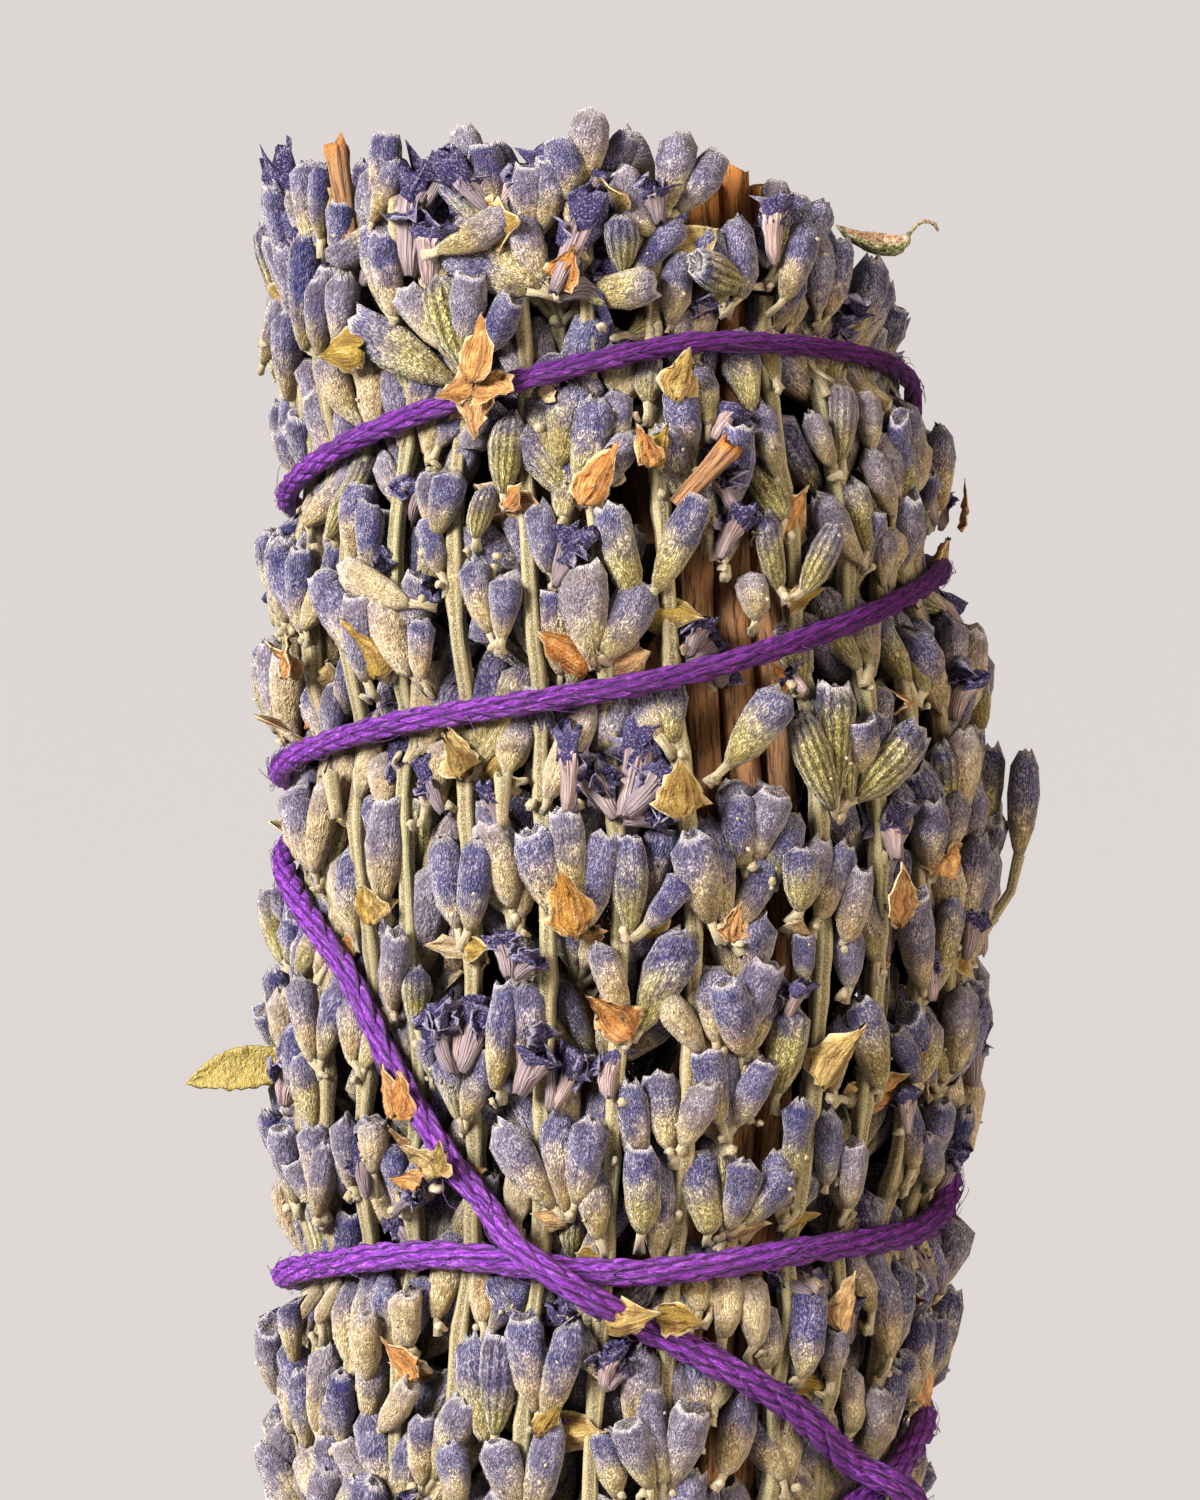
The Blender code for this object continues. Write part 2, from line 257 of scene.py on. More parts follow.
def in_scene(name, content):
    """A new object of this mesh, light or camera, linked to the scene."""
    thing = bpy.data.objects.new(name, content)
    bpy.context.scene.collection.objects.link(thing)
    return thing


def make_piece(name, batches, finishes, node):
    """One mesh object from its batches, in place of this CAD node."""
    points = np.concatenate([b["points"] for b in batches])
    faces, marks, first = [], [], 0
    for b in batches:
        for kind in ("cells", "caps"):
            faces += (b[kind] + first).tolist()
            marks += [b["finish"]] * len(b[kind])
        first += len(b["points"])
    mesh = bpy.data.meshes.new(name)
    mesh.from_pydata((points * MM).tolist(), [], faces)
    for finish in finishes:
        mesh.materials.append(finish)
    mesh.polygons.foreach_set("material_index", marks)
    mesh.polygons.foreach_set("use_smooth", [True] * len(marks))
    for layer, kind, field in LAYERS:
        values = depth_in(points) if layer == "depth" else np.concatenate([b[layer] for b in batches])
        mesh.attributes.new(layer, kind, "POINT").data.foreach_set(field, values.astype(np.float32).ravel())
    piece = in_scene(name, mesh)
    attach(piece, "root")
    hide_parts(node)
    return piece


# %% [markdown]
# Nearly every part is a stack of rings across an axis, so the ring is worked out once. Every copy has its
# own axis, and an arrow across it that says which side is its front.

# %% Rings that stand across an axis
UP, FRONT, LOOSE_FRONT = np.array([0.0, 0.0, 1.0]), np.array([0.0, -1.0, 0.0]), np.array([0.3, -1.0, 0.2])


def unit(arrows):
    return arrows / np.maximum(np.linalg.norm(arrows, axis=-1, keepdims=True), 1e-9)


def cross_arrows(axis, front):
    """Two unit arrows across each axis: one as near to front as it can be, and one to its left."""
    forward = unit(front - (front * axis).sum(-1, keepdims=True) * axis)
    return forward, np.cross(axis, forward)


def turns(around):
    """Equal steps round a ring, in radians."""
    return np.arange(around) * 2 * np.pi / around


def round_places(around):
    """Cosine and sine at equal steps round a ring: the first two numbers of a place on the skin."""
    return np.cos(turns(around)), np.sin(turns(around))


def per_copy(*columns):
    """The same columns with two more axes, so that a copy's value meets all its rings and their places."""
    return [column[:, None, None] for column in columns]


def offset(middle, forward, ahead, left, aside):
    """Middle + forward x ahead + left x aside."""
    return middle + forward * ahead[..., None] + left * aside[..., None]


def ringed(stance, bend, along, radius, squash=0.0):
    """Middle = base + length x (axis x along + bend x along squared), and round it a ring of this radius,
    flatter at the front by the squash and wider at the sides by half of it."""
    base, axis, front, length = stance
    cosine, sine = round_places(radius.shape[-1])
    forward, left = cross_arrows(axis, front)
    along, length = along[..., None], length[..., None]
    middle = base + axis * length * along + bend * length * along**2
    return offset(middle, forward, radius * cosine * (1 - squash), left, radius * sine * (1 + squash / 2))


# %% [markdown]
# ## The calyxes
#
# A calyx is the little ribbed tube that held one flower. Dried, it is about five millimetres long and two
# wide, narrow at its base, fullest past the middle, with five small teeth round a dark mouth, and felted all
# over with short pale hairs. There are about three thousand, so each is a skin of some sixty faces: five
# rings up the outside, a toothed rim, and one ring down inside the mouth. More than half of the mouths have
# shrivelled nearly shut. The felt and the fine ribs are left to the finish.

# %% Calyxes
CALYX, BRACT, COROLLA, STEM, WOOD = range(5)
CALYX_AROUND, HIDDEN_AROUND = 10, 6
CALYX_ALONG = np.array([0.0, 0.10, 0.30, 0.60, 0.86, 1.0, 0.95])[:, None]
CALYX_GIRTH = np.array([0.24, 0.50, 0.82, 1.0, 0.94, 0.68, 0.24])[:, None]
RIM, INSIDE = 5, 6
SHUT_SHARE, SHUT_MOUTH, OPEN_MOUTH = 0.55, (0.25, 0.60), (0.8, 1.2)
RIB_RISE, DENTS, SQUASHES = 0.018, 0.038, (0.0, 0.16)
STRAIGHTENING, BEND_PLAY = 0.13, 0.045


def calyxes(rng, base, axis, front, length, width, tone, around=CALYX_AROUND):
    """Rings along a gently bent axis: radius = half width x girth x rib x dent, with teeth on the rim."""
    one, full = (len(base), 1, 1), (len(base), len(CALYX_ALONG), around)
    base, axis, front, length, width, tone = per_copy(base, axis, front, length, width, tone)
    girth = CALYX_GIRTH * rng.normal(1, 0.05, (*full[:2], 1))
    is_tooth = np.arange(around) % 2 == 0
    along = CALYX_ALONG + np.zeros(full)
    along[:, RIM] += is_tooth * rng.uniform(-0.03, 0.09, (len(base), around)) - 0.01
    is_shut = rng.random(one) < SHUT_SHARE
    mouth = np.where(is_shut, rng.uniform(*SHUT_MOUTH, one), rng.uniform(*OPEN_MOUTH, one))
    girth = girth * np.where(np.arange(len(CALYX_ALONG))[:, None] >= RIM, mouth, 1)
    girth = girth * (1 + rng.normal(0, 0.07, one) * (CALYX_ALONG - 0.5) * 2)
    rib = np.where(is_tooth, 1 + RIB_RISE, 1 - RIB_RISE)
    dent = rng.normal(1, DENTS, full)
    squash = rng.uniform(*SQUASHES, one)
    # back towards upright, the more so the more it leans
    rise = axis[..., 2:]
    bend = (UP - (axis * rise).sum(-1, keepdims=True) * axis) * STRAIGHTENING * np.abs(rise - 1) ** 0.5
    bend = bend + rng.normal(0, BEND_PLAY, (*one, 3))
    points = ringed((base, axis, front, length), bend, along, width / 2 * girth * rib * dent, squash)
    edge = np.zeros(full)
    edge[:, RIM], edge[:, INSIDE] = 1, -1
    return batch(points, CALYX, (*round_places(around), along), tone, edge)


calyx_cells, calyx_caps = skin_faces(len(CALYX_ALONG), CALYX_AROUND)
print("a calyx has", len(calyx_cells) + len(calyx_caps), "faces")

# %% [markdown]
# ## The papery bracts
#
# Under each whorl of calyxes sits a pair of bracts, thin brown leaves with a drawn-out tip and darker veins.
# A bract is a flattened tube: the same rings, but each ring goes across the front and back again behind. The
# cup across it and the curl along it are added as rises away from the stem.

# %% Thin sheets: bracts and petals
SHEET_THICK = 0.11
# against its half width and its length: how a sheet is cupped, how it curls, and its other unevenness
CUPS, CURLS, WIDTH_PLAY, TWIST_PLAY, SLIDE_PLAY, END_PLAY = (-1.5, 0.4), (-0.15, 0.45), 0.06, 0.7, 0.10, 0.30
# rings along it, width at each ring, points across, roughness, depth of its pleats, tears at its sides
BRACT_FORM = ([0.0, 0.11, 0.28, 0.50, 0.70, 0.86, 1.0], [0.28, 0.80, 1.0, 0.90, 0.60, 0.28, 0.05],
              5, 0.13, 0.15, 0.15)
LARGE_BRACT_FORM = ([0.0, 0.05, 0.12, 0.22, 0.33, 0.44, 0.55, 0.66, 0.78, 0.89, 1.0],
                    [0.25, 0.50, 0.82, 0.98, 1.0, 0.92, 0.76, 0.54, 0.34, 0.18, 0.04], 9, 0.09, 0.12, 0.16)
PETAL_FORM = ([0.0, 0.22, 0.45, 0.68, 0.86, 1.0], [0.45, 0.80, 1.0, 1.05, 0.85, 0.5], 5, 0.30, 0.36, 0.20)


def there_and_back(values):
    """The same values in front from left to right, and behind from right to left."""
    return np.concatenate([values, values[..., ::-1]], -1)


def sheets(rng, base, axis, front, length, width, tone, finish=BRACT, form=BRACT_FORM):
    """Across place s from -1 to 1 and back, along place t: side = s x half width, and rise = cup x s squared
    + curl x t squared + waves."""
    ring_places, ring_widths, points_across, roughness, pleats, tear = form
    t, ring_widths = np.array(ring_places)[:, None], np.array(ring_widths)[:, None]
    one, rows = (len(base), 1, 1), (len(base), len(t))
    base, axis, front, length, width, tone = per_copy(base, axis, front, length, width, tone)
    forward, left = cross_arrows(axis, front)
    s = there_and_back(np.linspace(-1, 1, points_across))
    half = width / 2 * ring_widths * rng.normal(1, WIDTH_PLAY, (*rows, 1))
    torn = rng.normal(0, tear, (*rows, 2))
    half = half * (1 + np.where(s < 0, torn[..., :1], torn[..., 1:]) * np.abs(s) ** 3)
    cup = rng.uniform(*CUPS, one) * half
    curl = rng.uniform(*CURLS, one) * length
    pleat = pleats * np.where(np.arange(points_across) % 2 == 0, 1.0, -1.0) * np.sin(np.pi * t**0.7)
    wave = there_and_back(pleat + rng.normal(0, roughness, (*rows, points_across)))
    twist = rng.normal(0, TWIST_PLAY, one) * half * s * t
    face = np.repeat([0.5, -0.5], points_across)
    rise = cup * s**2 + curl * t**2 + wave + twist + SHEET_THICK * face
    slide = rng.normal(0, SLIDE_PLAY, one) * length * t**2
    uneven = there_and_back(rng.normal(0, END_PLAY * roughness, (*rows, points_across)))
    middle = base + axis * length[..., None] * (t + uneven)[..., None]
    points = offset(middle, forward, rise, left, s * half + slide)
    return batch(points, finish, (s, 0.0, t), tone, np.maximum(np.abs(s) ** 4, t**6))


# %% [markdown]
# ## The shrivelled corollas
#
# A few flowers dried in place: a pinkish, ribbed tube that opens into lips crumpled like tissue, dark violet
# or grey. The tube and the lip are the calyx's skin again, with a stronger bend and every point moved by its
# own random amount, and two crumpled petals stand in the mouth.

# %% Corollas
TUBE_AROUND, LIP_AROUND = 8, 12
TUBE_ALONG = np.array([0.0, 0.20, 0.42, 0.60, 0.72, 0.60])[:, None]
TUBE_GIRTH = np.array([0.30, 0.46, 0.56, 0.68, 0.74, 0.30])[:, None]
TUBE_EDGE = np.array([0, 0, 0, 0, 0, -1.0])[:, None]
LIP_ALONG = np.array([0.55, 0.66, 0.80, 0.94, 0.98, 0.66])[:, None]
LIP_GIRTH = np.array([0.56, 0.70, 0.86, 0.96, 0.74, 0.28])[:, None]
LIP_EDGE = np.array([0, 0, 0, 0.7, 0, -1.0])[:, None]
LIP_WAVES, LIP_WAVE = 5, 0.22
# how much tube and lip are crumpled: along the axis, out of it, and how far the tube bends
TUBE_CRUMPLE, LIP_CRUMPLE, TUBE_BEND = (0.03, 0.09), (0.055, 0.19), 0.24
# how far along the skin the finish takes them to be: the tube ends before the middle, lips and petals past it
TUBE_SKIN, LIP_SKIN = 0.45, 0.9
PETALS, PETAL_SPREAD = 2, 0.50


def corollas(rng, base, axis, front, length, width, tone):
    """The calyx's formula for a short tube, again for a wide lip whose rim waves five times, and two crumpled
    sheets that start in its mouth."""
    count, one = len(base), (len(base), 1, 1)
    *stance, half, tones = per_copy(base, axis, front, length, width / 2, tone)

    full = (count, len(TUBE_ALONG), TUBE_AROUND)
    along = TUBE_ALONG + rng.normal(0, TUBE_CRUMPLE[0], full)
    bend = rng.normal(0, TUBE_BEND, (*one, 3))
    radius = half * TUBE_GIRTH * rng.normal(1, TUBE_CRUMPLE[1], full)
    skin = (*round_places(TUBE_AROUND), TUBE_SKIN * TUBE_ALONG)
    tubes = batch(ringed(stance, bend, along, radius), COROLLA, skin, tones, TUBE_EDGE)

    full = (count, len(LIP_ALONG), LIP_AROUND)
    along = LIP_ALONG + rng.normal(0, LIP_CRUMPLE[0], full)
    wave = np.cos(LIP_WAVES * turns(LIP_AROUND) + rng.uniform(0, 6, one)) * (LIP_ALONG > 0.7)
    radius = half * LIP_GIRTH * rng.normal(1, LIP_CRUMPLE[1], full) * (1 + LIP_WAVE * wave)
    skin = (*round_places(LIP_AROUND), LIP_SKIN)
    lips = batch(ringed(stance, bend, along, radius), COROLLA, skin, tones, LIP_EDGE)

    many = np.repeat(np.arange(count), PETALS)
    base, axis, length, width, tone = (column[many] for column in (base, axis, length, width, tone))
    spread = unit(axis + rng.normal(0, PETAL_SPREAD, axis.shape))
    start = base + axis * (length * rng.uniform(0.40, 0.56, len(many)))[:, None]
    side = unit(rng.normal(0, 1, axis.shape))
    size = length * rng.uniform(0.28, 0.50, len(many))
    wide = width * rng.uniform(0.50, 0.80, len(many))
    petals = sheets(rng, start, spread, side, size, wide, tone, COROLLA, PETAL_FORM)
    petals["skin"] = petals["skin"] + LIP_SKIN * UP
    return tubes, lips, petals


# %% [markdown]
# ## Stems and flower stalks
#
# A lavender stem is square with a groove down each face. It is a profile carried along a path, thickened a
# little at each node where flowers grow. The flower stalks are short pale tubes from the node to each calyx,
# and where a flower has fallen off, a white knob is left.

# %% Stems, short tubes and knobs
STEM_AROUND, PEDICEL_AROUND = 12, 5
PEDICEL_THICK = np.array([1.25, 0.85, 1.0])[:, None]
# rings along it, girth at each ring, points around
KNOB_FORM = ([-1.4, -0.7, 0.3, 1.2, 1.7], [0.35, 0.70, 0.75, 1.0, 0.35], 6)
CRUMB_FORM = ([-0.8, 0.1, 0.8], [0.35, 1.0, 0.4], 4)
CRUMB_TONE, CRUMB_SIZES = (0.9, 0.1, 0.5, 0), (0.06, 0.17)
# against a flower's width: its surface, where a crumb sits
CRUMB_OUT = 0.41


def distance_along(path):
    return np.concatenate([[0], np.cumsum(np.linalg.norm(np.diff(path, axis=0), axis=-1))])


def carried_tube(path, radius, around, finish, tone, groove=0.0, front=FRONT, edge=0.0):
    """A ring across the path at every point of it: radius x (1 - groove x cosine of four times the turn)."""
    forward, left = cross_arrows(unit(np.gradient(path, axis=0)), front)
    cosine, sine = round_places(around)
    shape = radius[:, None] * (1 - groove * np.cos(4 * turns(around)))
    points = offset(path[:, None], forward[:, None], shape * cosine, left[:, None], shape * sine)
    return batch(points[None], finish, (cosine, sine, distance_along(path)[:, None]), tone, edge)


def pedicels(rng, start, end, radius, tone):
    """Three rings from the node to the calyx, with a small random bow in the middle."""
    start, end, radius, tone = per_copy(start, end, radius, tone)
    forward, left = cross_arrows(unit(end - start), LOOSE_FRONT)
    cosine, sine = round_places(PEDICEL_AROUND)
    t = np.linspace(0, 1, len(PEDICEL_THICK))[:, None, None]
    middle = start * (1 - t) + end * t + rng.normal(0, 0.10, (len(start), 1, 1, 3)) * (t * (1 - t) * 4)
    shape = radius * PEDICEL_THICK
    points = offset(middle, forward, shape * cosine, left, shape * sine)
    return batch(points, STEM, (cosine, sine, t[..., 0]), tone)


def knobs(rng, middle, axis, size, tone, form=KNOB_FORM):
    """Lumpy little stubs: rings along an axis, thickest near the broken end, every point moved a little."""
    *rings, around = form
    along, girth = (np.array(ring)[:, None] for ring in rings)
    middle, axis, size, tone = per_copy(middle, axis, size, tone)
    radius = size * girth * rng.normal(1, 0.20, (len(middle), len(along), around))
    points = ringed((middle, axis, LOOSE_FRONT, size), 0.0, along, radius)
    return batch(points, STEM, (*round_places(around), along), tone)


def varied(rng, tone, by, *count):
    """A colour mix moved at random by about this much, for one part or for a number of them."""
    return np.clip(np.array(tone) + rng.normal(0, by, (*count, 4)), 0, 1)


def crumbs(rng, base, axis, front, length, width):
    """Dust and scraps that stick to the outer side of a flower, somewhere along its middle."""
    count = len(base)
    forward, left = cross_arrows(axis, front)
    turn = rng.normal(0, 0.6, (count, 1))
    share = rng.uniform(0.25, 0.8, (count, 1))
    across = forward * np.cos(turn) + left * np.sin(turn)
    middle = base + axis * length[:, None] * share + across * width[:, None] * CRUMB_OUT
    tone = varied(rng, CRUMB_TONE, 0.25, count)
    way = unit(rng.normal(0, 1, base.shape))
    return knobs(rng, middle, way, rng.uniform(*CRUMB_SIZES, count), tone, CRUMB_FORM)


# %% [markdown]
# ## Laying the whorls
#
# A whorl is written as a few short words, one for each thing that grows at the node. The letter says what it
# is, and the number how far it leans in degrees, to the right of straight up, with its length after a colon
# where it isn't the usual one. Calyxes: v violet over cream, o blue over olive, s slate, d deep blue, c
# cream, g striped green, and e for one that points its mouth outwards. Bracts: t tan, y olive-yellow, b
# pale. Corollas: k dark, p pink with dark lips. A capital bract or corolla lies in front of its neighbours;
# a calyx is the same either way. An i is the stub of a broken stem and a w is a woody one.

# %% The kinds of flower parts
# share of blue from the tip down, paleness, depth of the blue, green of the base
CALYX_KINDS = {
    "v": (0.60, 0.08, 0.45, 0.25), "o": (0.50, 0.00, 0.50, 0.80), "s": (0.64, 0.18, 0.20, 0.45),
    "d": (0.86, 0.00, 0.95, 0.50), "c": (0.22, 0.55, 0.35, 0.20), "g": (0.26, 0.03, 0.20, 1.00),
    "e": (0.70, 0.05, 0.60, 0.45),
}
# orange, olive, paleness, and a fourth that no finish of theirs reads
BRACT_KINDS = {"t": (0.85, 0.10, 0.15, 0.10), "y": (0.15, 0.85, 0.10, 0.15), "b": (0.30, 0.25, 0.80, 0.0)}
# darkness of the lips, pinkness of the tube, and two that no finish of theirs reads
COROLLA_KINDS = {"k": (0.80, 0.40, 0.25, 0.60), "p": (0.40, 0.95, 0.55, 0.30)}
KINDS = {letter: (sort, tone)
         for sort, kinds in (("calyx", CALYX_KINDS), ("bract", BRACT_KINDS), ("corolla", COROLLA_KINDS))
         for letter, tone in kinds.items()}
PALE_STALK, KNOB_TONE = (0.50, 0.30, 0.60, 0.0), (0.6, 0.3, 0.5, 0)
PEDICEL_SIZES, KNOB_SIZES = (0.24, 0.36), (0.20, 0.34)
USUAL_LENGTH = {"calyx": 5.4, "bract": 3.6, "corolla": 3.4}
USUAL_WIDTH = {"calyx": 2.26, "bract": 2.8, "corolla": 2.2}
# sizes against the usual one: most flowers, and the share of them, and the small ones
FULL_SIZES, FULL_SHARE, SMALL_SIZES = (0.80, 1.18), 0.85, (0.5, 0.8)
KIND_SPREAD = 0.11
OPEN_TOP = 111.0
STEM_RING, FLOWERS_OUT = 19.3, 3.0
# a written lean is widened a little, and its whorl varies by a few degrees
LEAN_WIDER, LEAN_PLAY = 1.15, 4
# tilts out of the bundle, as a share of the upward arrow, for most flowers and for one that points outwards
OUTWARD_TILT, TILT_PLAY, END_ON_TILT = 0.10, 0.14, (1.2, 2.4)
STALK_LENGTH, STALK_OUT, STALK_ASIDE = 0.9, 0.25, 0.55
# how far out from the node the other parts start, and the ones that lie in front
AHEAD, IN_FRONT = {"bract": 0.35, "corolla": 0.9}, 1.5


def columns(rows):
    """Rows of one sort turned into one array for each thing that they say."""
    return [np.array(column) for column in zip(*rows)]


# %% [markdown]
# A bunch gathers the rows of one spike while its whorls are laid, so that the flowers of all spikes can be
# settled together before any of them becomes a mesh.

# %% A bunch gathers the parts of one spike
class Bunch:
    """Rows of what grows on one spike, kept by sort, and turned into batches at the end."""

    def __init__(self, seed, ring):
        self.rng, self.ring = np.random.default_rng(seed), ring
        self.skin_ring = min(SKIN_RING, ring + FLOWERS_OUT)
        self.inner = ring < STEM_RING - 1
        self.rows = {"calyx": [], "bract": [], "corolla": [], "knob": [], "over": [], "stub": []}
        self.stalk_starts = []

    def grow(self, spot, outward, sideways, letter, lean_by, length, out_tilt, stalk_length, forward):
        """Adds one part at a node: its axis is up, turned sideways by its lean, and tilted outwards."""
        rng, turn = self.rng, np.radians(lean_by)
        sort, tone = KINDS[letter.lower()]
        direction = unit(np.cos(turn) * UP + np.sin(turn) * sideways + out_tilt * outward)
        usual = USUAL_LENGTH[sort]
        size = length or usual * rng.uniform(*(FULL_SIZES if rng.random() < FULL_SHARE else SMALL_SIZES))
        tone = varied(rng, tone, KIND_SPREAD)
        front = UP if abs(direction @ outward) > 0.8 else outward
        over = letter.isupper() and sort == "bract"
        if sort == "calyx":
            stalk_start = spot + outward * STALK_OUT
            base = stalk_start + direction * stalk_length + outward * forward
            base = base + sideways * (STALK_ASIDE * np.sin(turn))
            width = USUAL_WIDTH[sort] * rng.uniform(0.84, 1.12) * min(1.12, 0.50 + 0.50 * size / usual)
            self.stalk_starts.append(stalk_start)
        else:
            ahead = IN_FRONT if letter.isupper() else AHEAD[sort]
            base = spot + outward * (ahead + forward) + direction * 0.1
            size = size * (0.9 if sort == "bract" else 1)
            width = USUAL_WIDTH[sort] * rng.uniform(0.65, 1.1) * (size / usual) ** 0.8
        self.rows["over" if over else sort].append((base, direction, front, size, width, tone))

    def whorl(self, bearing, height, aside, words, forward=0.0):
        """Everything at one node, aside by some millimetres along the skin. What leans more lies deeper."""
        rng = self.rng
        place = bearing + np.degrees(aside / (self.ring * swell(height)))
        spot = on_bundle(self.ring, place, height)
        outward, sideways = directions(place)
        for word in words:
            letter, (lean_by, _, length) = word[0], word[1:].partition(":")
            lean_by = float(lean_by)
            depth = forward + 0.30 - abs((lean_by + 180) % 360 - 180) / 110 + rng.normal(0, 0.25)
            lean_by = lean_by * LEAN_WIDER + rng.normal(0, LEAN_PLAY)
            end_on = letter == "e"
            out_tilt = rng.uniform(*END_ON_TILT) if end_on else OUTWARD_TILT + rng.normal(0, TILT_PLAY)
            if letter in "iw":
                self.rows["stub"].append((spot, lean_by, float(length), letter, outward, sideways, forward))
                continue
            length = float(length or 0) * rng.uniform(0.94, 1.06)
            stalk = STALK_LENGTH * rng.uniform(0.45, 1.5)
            self.grow(spot, outward, sideways, letter, lean_by, length, out_tilt, stalk, depth)
        middle = spot + outward * rng.uniform(0.4, 0.7) + sideways * rng.uniform(-0.7, 0.7)
        middle = middle + UP * rng.uniform(-0.2, 0.7)
        way = unit(rng.normal(0, 0.6, 3) + UP * 0.6 + outward)
        self.rows["knob"].append((middle, way, rng.uniform(*KNOB_SIZES)))

    def batches(self):
        rng, made = self.rng, []
        flowers = columns(self.rows["calyx"])
        base, axis = flowers[:2]
        # past the outer layer only the open top is seen close by, so calyxes below it get fewer faces there
        hidden = self.inner & (base[:, 2] < OPEN_TOP)
        for chosen, around in ((hidden, HIDDEN_AROUND), (~hidden, CALYX_AROUND)):
            if chosen.any():
                made.append(calyxes(rng, *(column[chosen] for column in flowers), around))
        if self.rows["bract"]:
            made.append(sheets(rng, *columns(self.rows["bract"])))
        if self.rows["corolla"]:
            made += corollas(rng, *columns(self.rows["corolla"]))
        tone = varied(rng, PALE_STALK, 0.12, len(base))
        thick = rng.uniform(*PEDICEL_SIZES, len(base))
        made.append(pedicels(rng, np.array(self.stalk_starts), base + axis * 0.25, thick, tone))
        if not self.inner:
            chosen = rng.integers(0, len(base), len(base))
            made.append(crumbs(rng, *(column[chosen] for column in flowers[:5])))
        middle, axis, size = columns(self.rows["knob"])
        made.append(knobs(rng, middle, axis, size, varied(rng, KNOB_TONE, 0.2, len(middle))))
        for b in made:
            b["points"] = under_string(tucked_in(b["points"]))
        if self.rows["over"]:
            over = sheets(rng, *columns(self.rows["over"]), form=LARGE_BRACT_FORM)
            over["points"] = tucked_in(over["points"])
            made.append(over)
        return made


# %% [markdown]
# ## Settling the flowers
#
# Dried flowers lie against each other and never through each other. Each calyx and corolla is stood in for
# by three beads on its axis. In a few rounds, beads that overlap push each other apart, stems push beads
# aside, and the flower skin and the string push them in, while every base is drawn back to its node. The
# crowd is too tight for all to come free: most flowers still press less than half a millimetre into a
# neighbour, and a few a millimetre. Chance placing that throws away whatever overlaps would be simpler, but
# it would leave holes in what should be a crowd.

# %% Push overlapping flowers apart
BEADS = np.array([0.24, 0.52, 0.80])[:, None]
BEAD_SIZE = np.array([0.56, 0.82, 0.80])
BEAD_STEM = 0.42
# how much of its own size a bead keeps from a stem, and from the flower skin
STEM_PRESS, SKIN_PRESS = 0.85, 1.05
ROUNDS, TABLE_ROWS = 14, 400
# what part of an overlap each of two flowers takes, and what part a flower takes from a stem
FLOWER_SHARE, STEM_SHARE = 0.25, 0.5
# how much of each push is followed: between flowers, back to the node, and in under the skin and the string
PUSHED, DRAWN_BACK, PRESSED = 0.8, 0.35, 0.9


def close_pairs(middle, reach):
    """The numbers of all pairs nearer than their reaches together, in slices to keep the table small."""
    pairs = []
    for start in range(0, len(middle), TABLE_ROWS):
        part = slice(start, start + TABLE_ROWS)
        apart = np.linalg.norm(middle[part, None] - middle[None], axis=-1)
        first, second = np.nonzero(apart < reach[part, None] + reach[None])
        first = first + start
        pairs.append(np.stack([first, second])[:, first < second])
    return np.concatenate(pairs, 1)


def gathered(index, arrows, count):
    """The sum of all arrows that belong to the same flower."""
    return np.stack([np.bincount(index, arrows[:, k], count) for k in range(3)], -1)


def beads_on(base, tip):
    return base[:, None] + (tip - base)[:, None] * BEADS


def moved(base, tip, move, share):
    """A bead's move, handed to the base and the tip by how near each of them is to the bead."""
    return base + share * (move * (1 - BEADS)).sum(1), tip + share * (move * BEADS).sum(1)


def overlap_push(arrow, reach, share):
    """Along the arrow between two middles, by a share of how far their reaches overlap."""
    apart = np.maximum(np.linalg.norm(arrow, axis=-1), 0.05)
    return (np.clip(reach - apart, 0, None) / apart * share)[..., None] * arrow


def settle(base, axis, length, width, skin_ring, stem_bearings):
    """Push = how far two beads overlap, shared by both. A flower turns and shifts, and keeps its length."""
    tip, rest = base + axis * length[:, None], base.copy()
    size = width[:, None] / 2 * BEAD_SIZE
    first, second = close_pairs((base + tip) / 2, (length + width) / 2)
    stem_arrows = STEM_RING * directions(stem_bearings)[0]
    for _ in range(ROUNDS):
        bead = beads_on(base, tip)
        move = np.zeros_like(bead)
        for a in range(len(BEADS)):
            for b in range(len(BEADS)):
                reach = size[first, a] + size[second, b]
                push = overlap_push(bead[first, a] - bead[second, b], reach, FLOWER_SHARE)
                move[:, a] += gathered(first, push, len(base))
                move[:, b] -= gathered(second, push, len(base))
        from_stems = level_arrow(bead)[0][:, :, None] - swell(bead[..., 2])[..., None, None] * stem_arrows
        move += overlap_push(from_stems, STEM_PRESS * size[..., None] + BEAD_STEM, STEM_SHARE).sum(2)
        base, tip = moved(base, tip, move, PUSHED)
        base = base + DRAWN_BACK * (rest - base)

        bead = beads_on(base, tip)
        arrow, out = level_arrow(bead)
        wide = swell(bead[..., 2])
        skin = skin_ring[:, None] * wide
        room = STRING_REST * wide + STRING_CLEARANCE
        limit = skin + np.minimum(room - skin, 0) * string_nearness(bead, BEAD_REACH)
        too_far = np.clip(out + SKIN_PRESS * size - limit, 0, None)
        base, tip = moved(base, tip, -arrow * (too_far / out)[..., None], PRESSED)
        tip = base + unit(tip - base) * length[:, None]
    return base, unit(tip - base)


